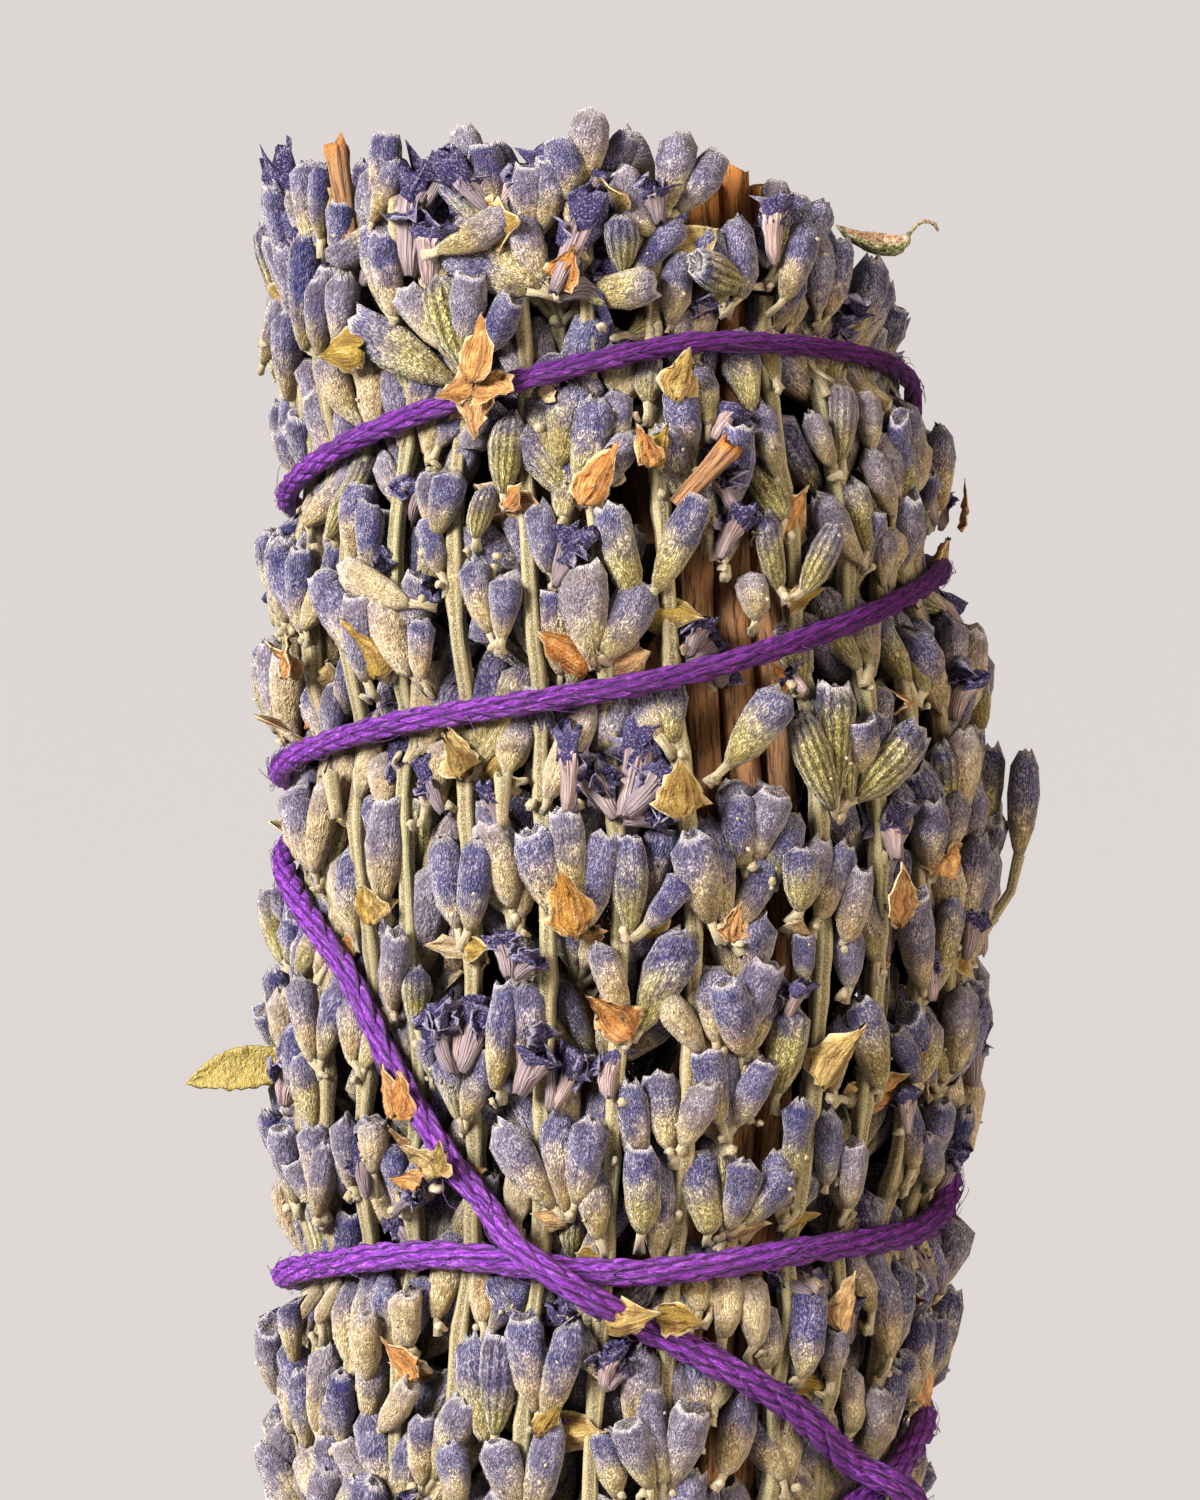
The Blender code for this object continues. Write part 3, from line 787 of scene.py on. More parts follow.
def settle_all(bunches, stem_bearings):
    """Takes the calyxes and corollas out of every bunch, settles them together and puts them back."""
    places = [(bunch, sort, k) for bunch in bunches
              for sort in ("calyx", "corolla") for k in range(len(bunch.rows[sort]))]
    taken = [bunch.rows[sort][k] for bunch, sort, k in places]
    base, axis, _, length, width, _ = columns(taken)
    ring = np.where(base[:, 2] > OPEN_TOP, SKIN_RING, [bunch.skin_ring for bunch, _, _ in places])
    ring = ring + np.random.default_rng(5).uniform(-1.2, 0.7, len(places))
    settled = settle(base, axis, length, width, ring, stem_bearings)
    for (bunch, sort, k), row, base, axis in zip(places, taken, *settled):
        bunch.rows[sort][k] = (base, axis, *row[2:])
    print("settled", len(places), "flowers")


# %% [markdown]
# ## The spikes at the front
#
# The bundle is seen from the front, so the whorls there are written out one by one, mostly from the tip
# down, with a slash between them: height of the node, how far it sits aside of the stem's place, and its
# words. A word with an f brings the whole whorl forwards by that much.

# %% Whorls of the front spikes
FRONT_WHORLS = {
    2: """115.2 0 s-14 v8 y-60 / 109.3 -1 o-24 s4 v20 / 103.2 0.4 d-8 v12 k-20 / 95.6 0 d-12 v8 s24 /
          88.2 0.3 v-14 c6 t30 / 81.3 0 c-6:6 v12 / 74.6 -0.4 v-16 d4 s18 / 68 0 p-4 d10 v-18 /
          61.5 0.3 v-10 s10 / 54.4 0 s-14 v6 c22 / 48.2 0.2 v-6 v14""",
    3: """115.8 0.6 K0:3.8 / 117 0 s-8:4.4 v14 / 111.4 0.8 e0 v-20 s16 / 104.5 0.4 k0 v-18 d14 k24 /
          101.2 0 v-8 v12 / 95 0 d-15:5.6 v2:4.6 c18:4 / 93 0.2 T-30:3 T12:3.2 y55:2.6 /
          87.6 0.4 v-14 s10:4.4 p26 / 81 0 v-16 g6:5.4 c20 / 75.4 -0.4 v-12 c10 / 70 0.3 v-6 d18 /
          66.3 -0.3 o0:4.8 v-20 / 61.2 0.4 v-8 v12:4.4 / 52.7 -0.8 v0:3.6 v-22 / 54.6 0.9 c8:2.6 /
          48 0 v-10 s10 v26""",
    4: """117.6 1 w-6:6 y-16:4 / 116.5 0 v-14 d6 s22 / 111 -0.8 e-10 v18:4.4 / 106.6 0.4 v-20 k4:3 c20 /
          100.7 -1 g13:6 / 99 1.4 v-4:4 / 95 0.2 c-18:4.2 s8 v26:4 / 91.9 2.4 d0:4.4 /
          85.1 -0.4 c-28:4.8 c22:4.8 i-4:2.6 y-70:2 / 77.4 -0.9 c-14:5.4 v8:5.4 t-66:2.4 /
          70.2 0.4 v-16:4.6 s6 / 63.4 0.2 v0:4.2 v22:4 / 61.7 -3 v0:4.6 / 53.2 0.6 v0:5.6 v-20 /
          52.8 2.2 c4:4.6 / 49 -2.5 v0:5 / 48.4 -1 v23:5 b-50:2""",
    5: """119.2 -0.2 S-112:4.7 v16:4 f0.5 / 112.9 0 o-11:5.4 v14:5 / 111.9 -1 Y-80:3.6 f0.3 /
          106.4 -0.4 k0:2.4 d-16:4 v16:4.4 / 97.7 -1.4 d0:4.6 k18:2.6 / 97 3 c-70:4.6 f1.2 /
          93 -0.4 Y-14:4.2 s14 v-22 / 88.4 0.6 v-10:4.2 c8:4.2 v24 / 84.6 -0.8 c-4:3.6 / 84.7 1.4 c12:4 /
          79.1 -1.1 v2:5.8 Y6:2.8 Y-22:2.6 / 73.4 -1.6 d-8:4.2 v25:4.6 b-60:2 /
          68.2 0.2 T-10:3.4 T26:3.2 v-26:3.6 / 62.6 0 d0:2.8 e10 k26:2.4 / 63.6 -2.1 c0:3 k-16:2.4 /
          54.6 0.2 v-10:4.6 v10:4.6 / 49.9 -1.8 c41:4.4 v-8""",
    6: """119.6 -1.2 K0:4 K26:3.4 / 118.4 2 Y80:4 / 116.2 -3 i0:4 s-12:4 / 115 -1.2 p4:3.2 v-24:4 s26:4 /
          110.6 0.5 v-16:4.4 s10:4.4 d32:4 / 105.2 -1.6 v-10:4 d12:4 / 100.2 -1.3 v-6:3.4 v16:3.8 /
          97.6 -0.5 v-6:3.6 y50:2.2 y100:1.8 / 100.2 1.4 g6:3 / 99.4 2.5 d-158:5.2 f1 /
          92.2 -2.2 v0:3.4 c-22 / 87.4 0.7 o2:6.3 o15:6.3 o-18:6.2 Y-26:3.4 Y-8:3.0 y50:2.6 /
          85.4 -0.9 k-26:2.4 / 77.9 -0.4 d-14:5 d16:5 y80:2.6 y104:2.2 b-85:2.8 / 78.6 3 c8:4.4 /
          71 0.2 K-24:4.4 K-4:5 K18:4.6 p8:4.6 f0.3 / 72.2 -3.1 g0:3.6 / 67.4 -0.4 o0:4.3 v24:4 /
          69.8 -2.5 d0:2.6 / 69.4 2.2 e0 / 65 -1 Y-34:2.8 Y18:2.8 t60:2.2 / 64.4 -2.2 T-66:2 /
          56 -1.2 v0:5.2 / 56 1.8 v2:4.6 d22:4 / 54.8 -2.6 c-4:3 / 53.6 -1.6 T-34:3.2 t-64:2.8 /
          47 -1.8 v0:4 s18 / 46 1 v-4:4""",
    7: """119 -1 k-14:3 p12:3 s-30 / 117 0.8 v-10:4 s14:4 / 109.5 -2.9 g-23:5.6 g2:5.4 G-63:6.2 f0.5 /
          109.4 -2.2 S-140:5 T16:4.6 T-90:2.4 T150:3.4 T92:3 t-98:3.6 f1.3 / 109 0.6 b60:1.8 f1.5 /
          106.6 1 d6:4 v24:4 / 102.5 -1.1 g-4:4.6 t-84:2.2 t84:2.6 b-50:2.2 t40:2 f0.4 /
          98 1.7 k0:2.8 d-16:4 k24:3 / 94.4 -1.8 v-10:4 v10:4 / 86.6 -1.3 v-12:4.2 / 85.6 0.2 C19:6.2 f0.5 /
          85.5 1.8 P8:4 K28:3 f0.5 / 84.6 -2 i2:3 k-20:2.6 / 79 -1.8 c-4:4.6 v-20:4 /
          78.6 2 v-24:5.6 o-5:5.8 v13:5.6 T-6:4.6 t60:2 f0.2 / 76.3 -1.3 K0:3 K24:2.6 /
          69.9 -0.8 v-4:5.2 K16:4.6 / 69 0.8 K-4:4.6 p22:3.6 / 62.8 1.9 v-30:5.6 v-8:5.6 v14:5 t-72:2.6 /
          61.5 -1.2 c0:3.2 k-22:2.6 / 50.8 0.9 v-4:5.4 v16:5.4 Y40:2.8 y80:4.2 / 49.7 -1.6 o-14:6 o2:5.8 /
          45.4 0.2 s-5 s16""",
    8: """119 -0.6 v-14:4 s4:4.4 k22:3 /
          114.4 -1.6 o-65:5.7 v-40:5.6 v-18:5.2 K22:4.4 K44:4.4 T15:3.2 o66:4.4 f0.4 /
          114.6 1.9 g0:3.4 d20:4 / 108.2 1 s8:4 c26:3.6 / 103.9 -2.2 o-10:5 o8:4.8 /
          102.6 -0.7 o-26:5 o-4:5.4 T14:4.4 v30:4 / 101.4 -1.9 e0 /
          93.5 -0.7 s-14:5.2 s10:5 t-52:4 t58:3.6 b0:1.4 / 85.2 0.3 K-18:4 K8:4.4 K30:3.8 k50:3 /
          78.6 0.6 o-8:5.8 v17:5.4 y58:3 d34:4 / 72.9 0.8 o27:5.6 v-10:4.8 T-32:3.8 / 69.6 -0.2 p0:3 /
          66 0 o-6:4 / 64.8 1.5 v4:4.6 / 60.6 0 v-4:4.6 y-60:2.2 / 60.9 1.9 o6:4.8 / 57.2 0.2 Y74:3.2 f0.9 /
          53.4 0.6 p0:2.6 k24:2.4 s-22:3 / 46.8 1.7 s-4:4 / 46.8 3.2 s6:4.2""",
    9: """118.2 0.2 s8:4.6 K-16:3.4 s26:4 / 116.8 0.6 y60:3.4 v-24:4 / 115.2 -0.9 c0:2.4 /
          112 -2.5 g58:4.2 / 112.4 0.8 v10:4 k34:3 / 108.4 0.3 Y20:3.4 f0.2 / 107.2 -0.9 o-2:4 /
          104.6 -0.9 T-10:3 Y14:2.8 f0.2 / 104 -2.6 v-4:4.6 / 102.6 0.2 w38:4.6 f0.6 /
          96.7 -2.1 o-12:5.8 o28:5.6 y78:4 b-60:1.6 f0.2 / 99.6 2.4 k16:3.4 d-10:4 / 94 0.5 k30:2.6 k6:2.4 /
          92.6 2.2 k20:2.6 / 88.6 -0.8 o-4:4 v-24:4 / 87.1 0.9 o33:5.5 / 85.1 -0.9 Y-4:4.2 f0.2 /
          78.3 1.4 v-18:5.6 v4:5.8 v26:4.6 T6:2.6 y75:3 / 71.7 1.3 c-26:4.4 s21:5.2 v0:4 /
          65.8 -0.6 v-10:4 v12:4 / 62.8 -0.2 v-4:4 / 60.4 -1 e0 / 61.3 1.9 o0:5.2 / 61.8 2.7 o35:4.2 y55:3 /
          57.6 -1.2 Y80:3.2 f0.7 / 55.4 1.1 o0:3.4 v-20:3.4 / 50.6 -2 v10:4 / 47 0.4 s-6:5 s6:5 /
          51.2 2.6 c10:2.8""",
    10: """116.3 -0.3 p0:3.8 k-20:3 s20:4 / 115.2 -0.4 G-72:4 o18:4.4 v34 f0.3 /
           113.4 -2.8 o-14:4.4 d12:4.4 / 112.2 1.4 v8:4 p28:3 / 109.4 0.2 e0 / 107 -2.2 o0:4.4 /
           106.3 -4.4 o-4:3.6 p10:2.4 / 103.4 -0.7 o-10:4.4 / 102.2 -3.7 d0:4.6 k-14:3 /
           101 -0.9 g0:4.6 t32:3.4 t72:2.8 y-70:2.6 / 110.4 -5 v-8:4 s10:4 f-0.9 /
           104.6 -5.6 d-6:4.4 v8:4 f-0.8 / 98.6 -4.6 v4:4.2 f-0.9 / 97.2 -1 o-24:4.4 o38:4.8 y64:2.6 /
           95.6 -3 s0:3 / 92.1 -0.9 p0:3.2 t-24:2.4 o26:4.2 / 85.2 1 g-21:5.8 g-3:5.8 g9:5.6 g29:5.2 f0.1 /
           81.2 -3.3 o-2:4.4 / 79.4 -2.2 o6:4 v26:4 / 78.5 -0.8 v4:4.4 b-60:2.2 b60:2.2 / 77.4 1.2 s0:4.2 /
           74.8 1.6 d0:3.6 / 73.8 -2.4 p0:2.6 / 75.5 -1.3 d0:2.6 / 68.1 -3.7 c-10:4.8 / 68.6 -2.3 o0:5 /
           70 -0.2 Y22:4.8 / 69 1.4 c78:3.4 v8:4 / 64 -0.8 o-6:4.4 / 64 1.4 o4:4.2 /
           62 -1 v-12:4 o25:4 y60:2.6 / 81.4 -4.6 v-10:4.4 s8:4.4 f-0.8 / 74.8 -4.8 s-8:4.6 v10:4.4 f-0.6 /
           67.2 -5.2 v-4:4.6 d12:4.2 f-0.4 / 61.6 -4.6 o-10:4.6 v8:4.6 / 56.6 -5.4 v-6:4.4 s12 f-0.6 /
           49.6 -5 s-8:4.6 v8 f-0.5 / 82.4 -4.4 o-10:4.6 v12:4.6 f-0.5 / 77.6 -5 s0:5 d-22:4 f-0.5 /
           71.6 -4.4 v-14:4.8 v8:5 f-0.5 / 66.4 -5 d4:4.8 c-16:4 f-0.5 / 60 -4.4 s-6:5 v14:4.4 f-0.5 /
           107.6 -5 s-4:4.8 d14:4 f-0.9 / 101.6 -5.2 v6:4.8 o-14:4.4 f-0.9 / 54.7 -4 c-4:3.8 /
           54.4 -2.3 c0:4.4 / 53.3 -1 s0:4.4 / 52.9 1 d0:5.4 y75:2.8 / 55.9 3 T8:3.8 /
           58.4 0.8 p0:2.4 k-40:2.4 / 47.5 -4 v16:5.2 / 46.6 0.6 v-8:4.4 c10:4.4""",
    11: """112.8 0 s-16:4.4 v4:4.4 y24:3 / 109.2 0 s-12:4.6 s8:4.6 o26:4 / 104.4 0.3 o0:4.6 v-22:3.6 /
           105 2.4 v2:3.6 / 99.2 1.1 o0:4.2 v-20:4 / 92.6 -0.3 o-6:4.6 o14:4.6 / 86.6 -0.8 v-12:4 d8:4 /
           82.7 0.5 p0:3.6 v22:4 / 79 -0.2 T-4:4.2 / 75.8 -0.2 g-6:4 t40:2 /
           69.1 0.8 o-8:5.8 t-55:2.6 t50:2.6 t72:2.4 / 67 3 p0:2.8 / 61.8 -0.4 v-14:4.2 v6:4.4 /
           55.6 2.2 y40:2.6 v-6:4 / 52.4 -0.8 v0:3.6 / 49 1.7 c0:4 v-24:4""",
    12: """111.2 0 y-24:3 s-4:4.4 s16:4.4 / 107.4 0.4 s-10 s10 v28:4 / 101.7 0.8 s0:4.6 o20:4.6 v-20:4 /
           97.4 0.2 v-12:4 c8:4 / 91.6 0.4 o-12:5.4 o10:6 t-70:3 t70:3 / 81.5 0.4 v-15:4.8 v15:4.8 T4:2.4 /
           74.5 0.2 p0:2.8 v-20 v16 / 69 0 d-10:4 v10:4 / 63.6 0.4 v0 s20 / 57.5 0.6 v-6 v16:4 /
           53 -0.2 v-8 v12 / 47.6 0 s-10 v10""",
}
FRONT_BEARINGS = [-90, -76, -63, -51, -39, -27, -14, -2, 10, 32, 44, 56, 68, 80, 93]
BACK_SPIKES = 12
back_step = (270 - FRONT_BEARINGS[-1]) / (BACK_SPIKES + 1)
OUTER_BEARINGS = FRONT_BEARINGS + [FRONT_BEARINGS[-1] + back_step * (k + 1) for k in range(BACK_SPIKES)]


def written_whorls(text):
    """Height, millimetres aside, words, and millimetres forwards of each whorl."""
    whorls = []
    for stretch in filter(None, text.split("/")):
        height, aside, *words = stretch.split()
        forward = sum(float(word[1:]) for word in words if word[0] == "f")
        whorls.append((float(height), float(aside), [word for word in words if word[0] != "f"], forward))
    return whorls


print("wrote", sum(len(written_whorls(text)) for text in FRONT_WHORLS.values()), "whorls at the front")

# %% [markdown]
# Everywhere else the whorls are drawn by chance in the same way, a whorl about every seven millimetres,
# because a bundle is picked by the handful and nobody places its flowers. Every spike has its own fixed
# seed, so it grows the same each time.

# %% Whorls drawn by chance
USUAL_KINDS, USUAL_BRACTS, USUAL_COROLLAS = "vvvvvvoooossssddccg", "ttyyyb", "kkp"
BRACT_SHARE, LARGE_BRACT_SHARE, COROLLA_SHARE = 0.55, 0.07, 0.30


def drawn(rng, kinds):
    return kinds[rng.integers(len(kinds))]


def usual_words(rng, count, spread):
    """A fan of calyxes, with a bract or a corolla now and then."""
    leans = np.linspace(-spread, spread, count) + rng.normal(0, 4, count)
    words = [f"{drawn(rng, USUAL_KINDS)}{turn:.0f}" for turn in leans]
    if rng.random() < BRACT_SHARE:
        kind, turn = drawn(rng, USUAL_BRACTS), rng.choice([-1, 1]) * rng.uniform(45, 85)
        words.append(f"{kind}{turn:.0f}:{rng.uniform(2.2, 3.8):.1f}")
    if rng.random() < LARGE_BRACT_SHARE:
        words.append(f"T{rng.uniform(-16, 16):.0f}:{rng.uniform(2.8, 3.8):.1f}")
    if rng.random() < COROLLA_SHARE:
        words.append(f"{drawn(rng, USUAL_COROLLAS)}{rng.uniform(-30, 30):.0f}")
    return words


def usual_heights(rng, low, high, pitch):
    """Heights from high down to low, a pitch apart with a little play."""
    count = max(1, int(round((high - low) / pitch)))
    step = np.arange(count)
    return high - step * (high - low) / count - rng.uniform(-0.8, 0.8, count) * (step > 0)


# %% [markdown]
# ## Finishes
#
# Colours are written as a painter would pick them, in sRGB, and turned to the linear numbers that a renderer
# mixes. One small function adds a node with its settings and its links. A finish is then painted as on
# canvas: a ground, and one coat over another, each covering by its own share.

# %% Colour and node helpers
SMOOTH = {"interpolation_type": "SMOOTHSTEP"}


def linear(code):
    """Each sRGB share s becomes ((s + 0.055) / 1.055) to the power 2.4, or s / 12.92 where it's very dark."""
    shares = np.array([int(code[k:k + 2], 16) for k in (1, 3, 5)]) / 255
    mixed = np.where(shares <= 0.04045, shares / 12.92, ((shares + 0.055) / 1.055) ** 2.4)
    return (*mixed.tolist(), 1.0)


def add_node(tree, kind, sockets=(), **settings):
    """Adds one node with its settings. Sockets are named or numbered, or a list from the first on, and each
    gets a plain value, a colour code, or a link from another node's output."""
    node = tree.nodes.new("ShaderNode" + kind)
    for field, value in settings.items():
        setattr(node, field, value)
    for name, value in sockets.items() if isinstance(sockets, dict) else enumerate(sockets):
        if isinstance(value, bpy.types.NodeSocket):
            tree.links.new(value, node.inputs[name])
        else:
            node.inputs[name].default_value = linear(value) if isinstance(value, str) else value
    return node.outputs


def new_finish(name):
    """An empty material, and the function that adds a node to it."""
    finish = bpy.data.materials.new(name)
    finish.use_nodes = True
    finish.node_tree.nodes.clear()
    return finish, partial(add_node, finish.node_tree)


def across(place, size):
    """Where a pattern is laid, and its scale for spots about so many millimetres across."""
    return {"Vector": place, "Scale": 1 / (size * MM)}


def coats(add, ground, *layers):
    """Lays colours over a ground, one after another. A layer is its share and its colour. The share is an
    output, or a source with the two values between which the coat rises from nothing to its most."""
    colour = ground
    for share, over in layers:
        if isinstance(share, tuple):
            source, low, high, most = share
            share = add("MapRange", [source, low, high, 0.0, most])[0]
        colour = add("Mix", {0: share, 6: colour, 7: over}, data_type="RGBA")[2]
    return colour


def grown(add):
    """What the finish of a grown thing reads: its place, the place on its skin and the turn round it, the
    four shares of its colour mix, its rims and mouths, and how deep it lies in the bundle."""
    skin = add("Attribute", attribute_name="skin")["Vector"]
    x, y, z = add("SeparateXYZ", [skin])
    mix = add("Attribute", attribute_name="tone")
    shares = add("SeparateColor", [mix["Color"]])
    return SimpleNamespace(place=add("TexCoord")["Object"], skin=skin, x=x, y=y, z=z,
                           turn=add("Math", [y, x], operation="ARCTAN2")[0],
                           mix=mix["Color"], tone=(*shares, mix["Alpha"]),
                           edge=add("Attribute", attribute_name="edge")["Fac"],
                           depth=add("Attribute", attribute_name="depth")["Fac"])


def painted_depth_shade(on):
    """The last coat: painted shade, darker towards the inside of the bundle, where less light reaches."""
    return (on.depth, 0.0, 1.0, 0.94), "#1c0e04"


def complete(finish, add, colour, height, rise, surface, strength=1.0):
    """The shader that ends a finish, with a bump of this rise in millimetres and its own surface numbers."""
    bump = add("Bump", {"Height": height, "Strength": strength, "Distance": rise * MM})[0]
    shader = add("BsdfPrincipled", {"Base Color": colour, "Normal": bump, **surface})[0]
    add("OutputMaterial", {"Surface": shader})
    return finish


# %% [markdown]
# ** Felted calyx.** The skin is a dull violet-blue that fades to cream or olive at the base, under short
# whitish hairs. Hair that fine is smaller than the render can show, so it is drawn as flecks a tenth of a
# millimetre across and as a velvety sheen. Thirteen ribs run along the tube, darker in the furrows, and
# strongest where it is green. That darkness is partly the calyx's own stripes and partly painted shade.

# %% Felted calyx
FELT_HAIR, USUAL_RADIUS, CALYX_RUN = 0.095, 1.1, 5.4
RIBS = 13.0


def felted_calyx():
    finish, add = new_finish("felted_calyx")
    on = grown(add)
    violet_share, paleness, blueness, green = on.tone
    cloud = add("TexNoise", {**across(on.place, 1.3), "Detail": 4, "Roughness": 0.65})["Fac"]
    mottle = add("TexNoise", {**across(on.place, 0.42), "Detail": 3, "Roughness": 0.7})["Fac"]
    # millimetres round and along the tube, twice as coarse along it, moved by the flower's own colour mix
    laid = add("Mapping", {0: on.skin, "Scale": (USUAL_RADIUS, USUAL_RADIUS, CALYX_RUN / 2)})[0]
    laid = add("VectorMath", [on.mix, (30, 30, 30), laid], operation="MULTIPLY_ADD")[0]
    fleck = add("TexNoise", {"Vector": laid, "Scale": 1 / FELT_HAIR, "Detail": 1, "Roughness": 0.6})["Fac"]
    wave = add("Math", [add("Math", [on.turn, RIBS], operation="MULTIPLY")[0]], operation="SINE")[0]
    rib = add("MapRange", [wave, -1.0, 0.6, 0.0, 1.0], **SMOOTH)[0]

    # how far the violet has come down: place along the tube + cloudiness + this calyx's own share
    drift = add("Math", [cloud, 0.9, on.z], operation="MULTIPLY_ADD")[0]
    reach = add("Math", [drift, violet_share], operation="ADD")[0]
    violet = add("MapRange", [reach, 1.18, 1.78, 0.0, 1.0], **SMOOTH)[0]
    deep = add("MapRange", [drift, 1.00, 1.40, 0.0, 0.60], **SMOOTH)[0]
    foot = coats(add, "#9a741c", (green, "#6c6200"))
    tip = coats(add, "#30396c", (blueness, "#0e186a"), (deep, "#18154c"))
    # the furrows between the ribs, darkened: partly the calyx's own stripes, partly painted shade
    smooth = add("Math", [1.0, rib], operation="SUBTRACT")[0]
    ribbed = add("MapRange", [green, 0.80, 1.0, 0.14, 0.66])[0]
    furrow = add("Math", [smooth, ribbed], operation="MULTIPLY")[0]
    # painted shade: the low spots of the mottled bump are darkened
    colour = coats(add, foot, (violet, tip), (paleness, "#bca684"), ((mottle, 0.52, 0.32, 0.65), "#17111f"),
                   (furrow, "#2a2008"))

    # pale hairs: fewer in the furrows and on the violet, and thickest on the rim; fewer also towards the
    # sides, as painted shade that leaves the outward face paler as if lit
    coat = add("MapRange", [cloud, 0.62, 0.38, 0.25, 0.95], **SMOOTH)[0]
    hair_share_and_side_shade = add("MapRange", [furrow, 0.1, 0.6, 1.0, 0.25])[0]
    for side_shade_and_thinning in (add("MapRange", [on.x, -0.1, 0.85, 0.30, 1.0], **SMOOTH),
                   add("MapRange", [violet, 0.3, 1.0, 1.0, 0.50])):
        hair_share_and_side_shade = add("Math", [hair_share_and_side_shade, side_shade_and_thinning[0]], operation="MULTIPLY")[0]
    coat = add("Math", [coat, hair_share_and_side_shade], operation="MULTIPLY")[0]
    hair = add("MapRange", [fleck, 0.49, 0.58, 0.0, 1.0], **SMOOTH)[0]
    hair = add("Math", [hair, coat], operation="MULTIPLY")[0]
    tuft = add("Math", [coat, 0.30], operation="MULTIPLY")[0]
    crumb = add("Math", [fleck, 1.0, on.edge], operation="MULTIPLY_ADD")[0]
    rim = add("MapRange", [crumb, 1.00, 1.45, 0.0, 0.8])[0]
    felt = add("Math", [tuft, rim], operation="MAXIMUM")[0]
    felt = add("Math", [hair, felt], operation="MAXIMUM")[0]
    fluff = coats(add, "#f5e2bc", (green, "#e8dc94"), (violet, "#d4cde6"), (rim, "#d2c9bf"))
    # painted shade: the inside of the mouth is painted dark, with pale flecks
    within = coats(add, "#241a26", ((fleck, 0.47, 0.60, 0.9), "#a4968c"))
    # the last coat is painted shade, darker deeper in the bundle
    colour = coats(add, colour, (felt, fluff), ((on.edge, 0.2, -0.7, 0.95), within), painted_depth_shade(on))

    ribbed = add("MapRange", [green, 0.7, 1.0, 0.16, 0.45])[0]
    height = add("Math", [rib, ribbed, fleck], operation="MULTIPLY_ADD")[0]
    height = add("Math", [mottle, 1.6, height], operation="MULTIPLY_ADD")[0]
    return complete(finish, add, colour, height, 0.26,
                    {"Roughness": 0.95, "Specular IOR Level": 0.12, "Sheen Weight": 0.65,
                     "Sheen Roughness": 0.25, "Sheen Tint": "#e0d6cc"})


# %% [markdown]
# **Papery bract.** A dead leaf: tan, orange or olive, with darker veins that fan out from its base, brown
# blotches and a pale dry edge.

# %% Papery bract
def papery_bract():
    finish, add = new_finish("papery_bract")
    on = grown(add)
    orange, olive, paleness, _ = on.tone
    cloud = add("TexNoise", {**across(on.place, 0.8), "Detail": 5, "Roughness": 0.7})["Fac"]
    grain = add("TexNoise", {**across(on.place, 0.15), "Detail": 2})["Fac"]
    fan = add("Mapping", {0: on.skin, "Scale": (5.5, 1.0, 1.2)})[0]
    vein = add("TexNoise", {"Vector": fan, "Scale": 1, "Detail": 4, "Roughness": 0.7, "Distortion": 0.4})[0]
    veins = add("MapRange", [vein, 0.48, 0.60, 0.0, 0.70], **SMOOTH)[0]
    # the last coat is painted shade, darker deeper in the bundle
    colour = coats(add, "#a4822e", (orange, "#bd7730"), (olive, "#8a7412"), (paleness, "#dbc6a2"),
                   ((cloud, 0.50, 0.32, 0.7), "#e2b978"), ((cloud, 0.52, 0.70, 0.75), "#7d4a22"),
                   (veins, "#65401f"), ((on.edge, 0.5, 1.0, 0.65), "#ead3aa"), painted_depth_shade(on))
    height = add("Math", [grain, 0.5, vein], operation="MULTIPLY_ADD")[0]
    return complete(finish, add, colour, height, 0.3, {"Roughness": 0.58, "Specular IOR Level": 0.4}, 0.9)


# %% [markdown]
# ** Shrivelled corolla.** Tissue-thin petals that dried dark violet or grey at the lips and pinkish on the
# tube, with fine ribs. The crumple of the lips is painted nearly black in its hollows, as shade, and paler
# on its ridges, partly pale creases and partly painted highlight. The frayed edge and the frost on the lips
# are drawn a tenth of a millimetre coarse.

# %% Shrivelled corolla
def shrivelled_corolla():
    finish, add = new_finish("shrivelled_corolla")
    on = grown(add)
    darkness, pinkness, _, _ = on.tone
    crease = add("TexNoise", {**across(on.place, 0.30), "Detail": 4, "Roughness": 0.75, "Distortion": 1.4})[0]
    fleck = add("TexNoise", {**across(on.place, 0.12), "Detail": 1})["Fac"]
    cloud = add("TexNoise", {**across(on.place, 1.0), "Detail": 2})["Fac"]
    along = add("Mapping", {0: on.skin, "Scale": (3.2, 3.2, 1.2)})[0]
    line = add("TexNoise", {"Vector": along, "Scale": 1.5, "Detail": 2})["Fac"]
    frost = add("MapRange", [fleck, 0.54, 0.66, 0.0, 0.55], **SMOOTH)[0]
    frayed = add("Math", [fleck, 0.9, on.edge], operation="MULTIPLY_ADD")[0]
    tube = coats(add, "#8b8188", (pinkness, "#d2b6ac"), ((line, 0.52, 0.40, 0.65), "#6a5563"))
    # painted shade in the hollows of the crumple, and paler ridges: partly pale creases, partly painted
    # highlight
    lips = coats(add, "#564a84", (darkness, "#1d1354"), ((crease, 0.56, 0.72, 0.7), "#8f82b6"),
                 ((crease, 0.48, 0.38, 0.9), "#120d2a"), (frost, "#c6bade"),
                 ((frayed, 0.95, 1.45, 0.9), "#d0c6e0"))
    reach = add("Math", [cloud, 0.9, on.z], operation="MULTIPLY_ADD")[0]
    opened = add("MapRange", [reach, 0.78, 1.02, 0.0, 1.0], **SMOOTH)[0]
    # painted shade: dark inside the mouth; the last coat is painted shade, darker deeper in the bundle
    colour = coats(add, tube, (opened, lips), ((on.edge, -0.1, -0.8, 0.9), "#17122a"), painted_depth_shade(on))
    height = add("Mix", {0: opened, 2: line, 3: crease}, data_type="FLOAT")[0]
    return complete(finish, add, colour, height, 0.9,
                    {"Roughness": 0.7, "Specular IOR Level": 0.3, "Sheen Weight": 0.15,
                     "Sheen Roughness": 0.3, "Sheen Tint": "#b8a8e0"})
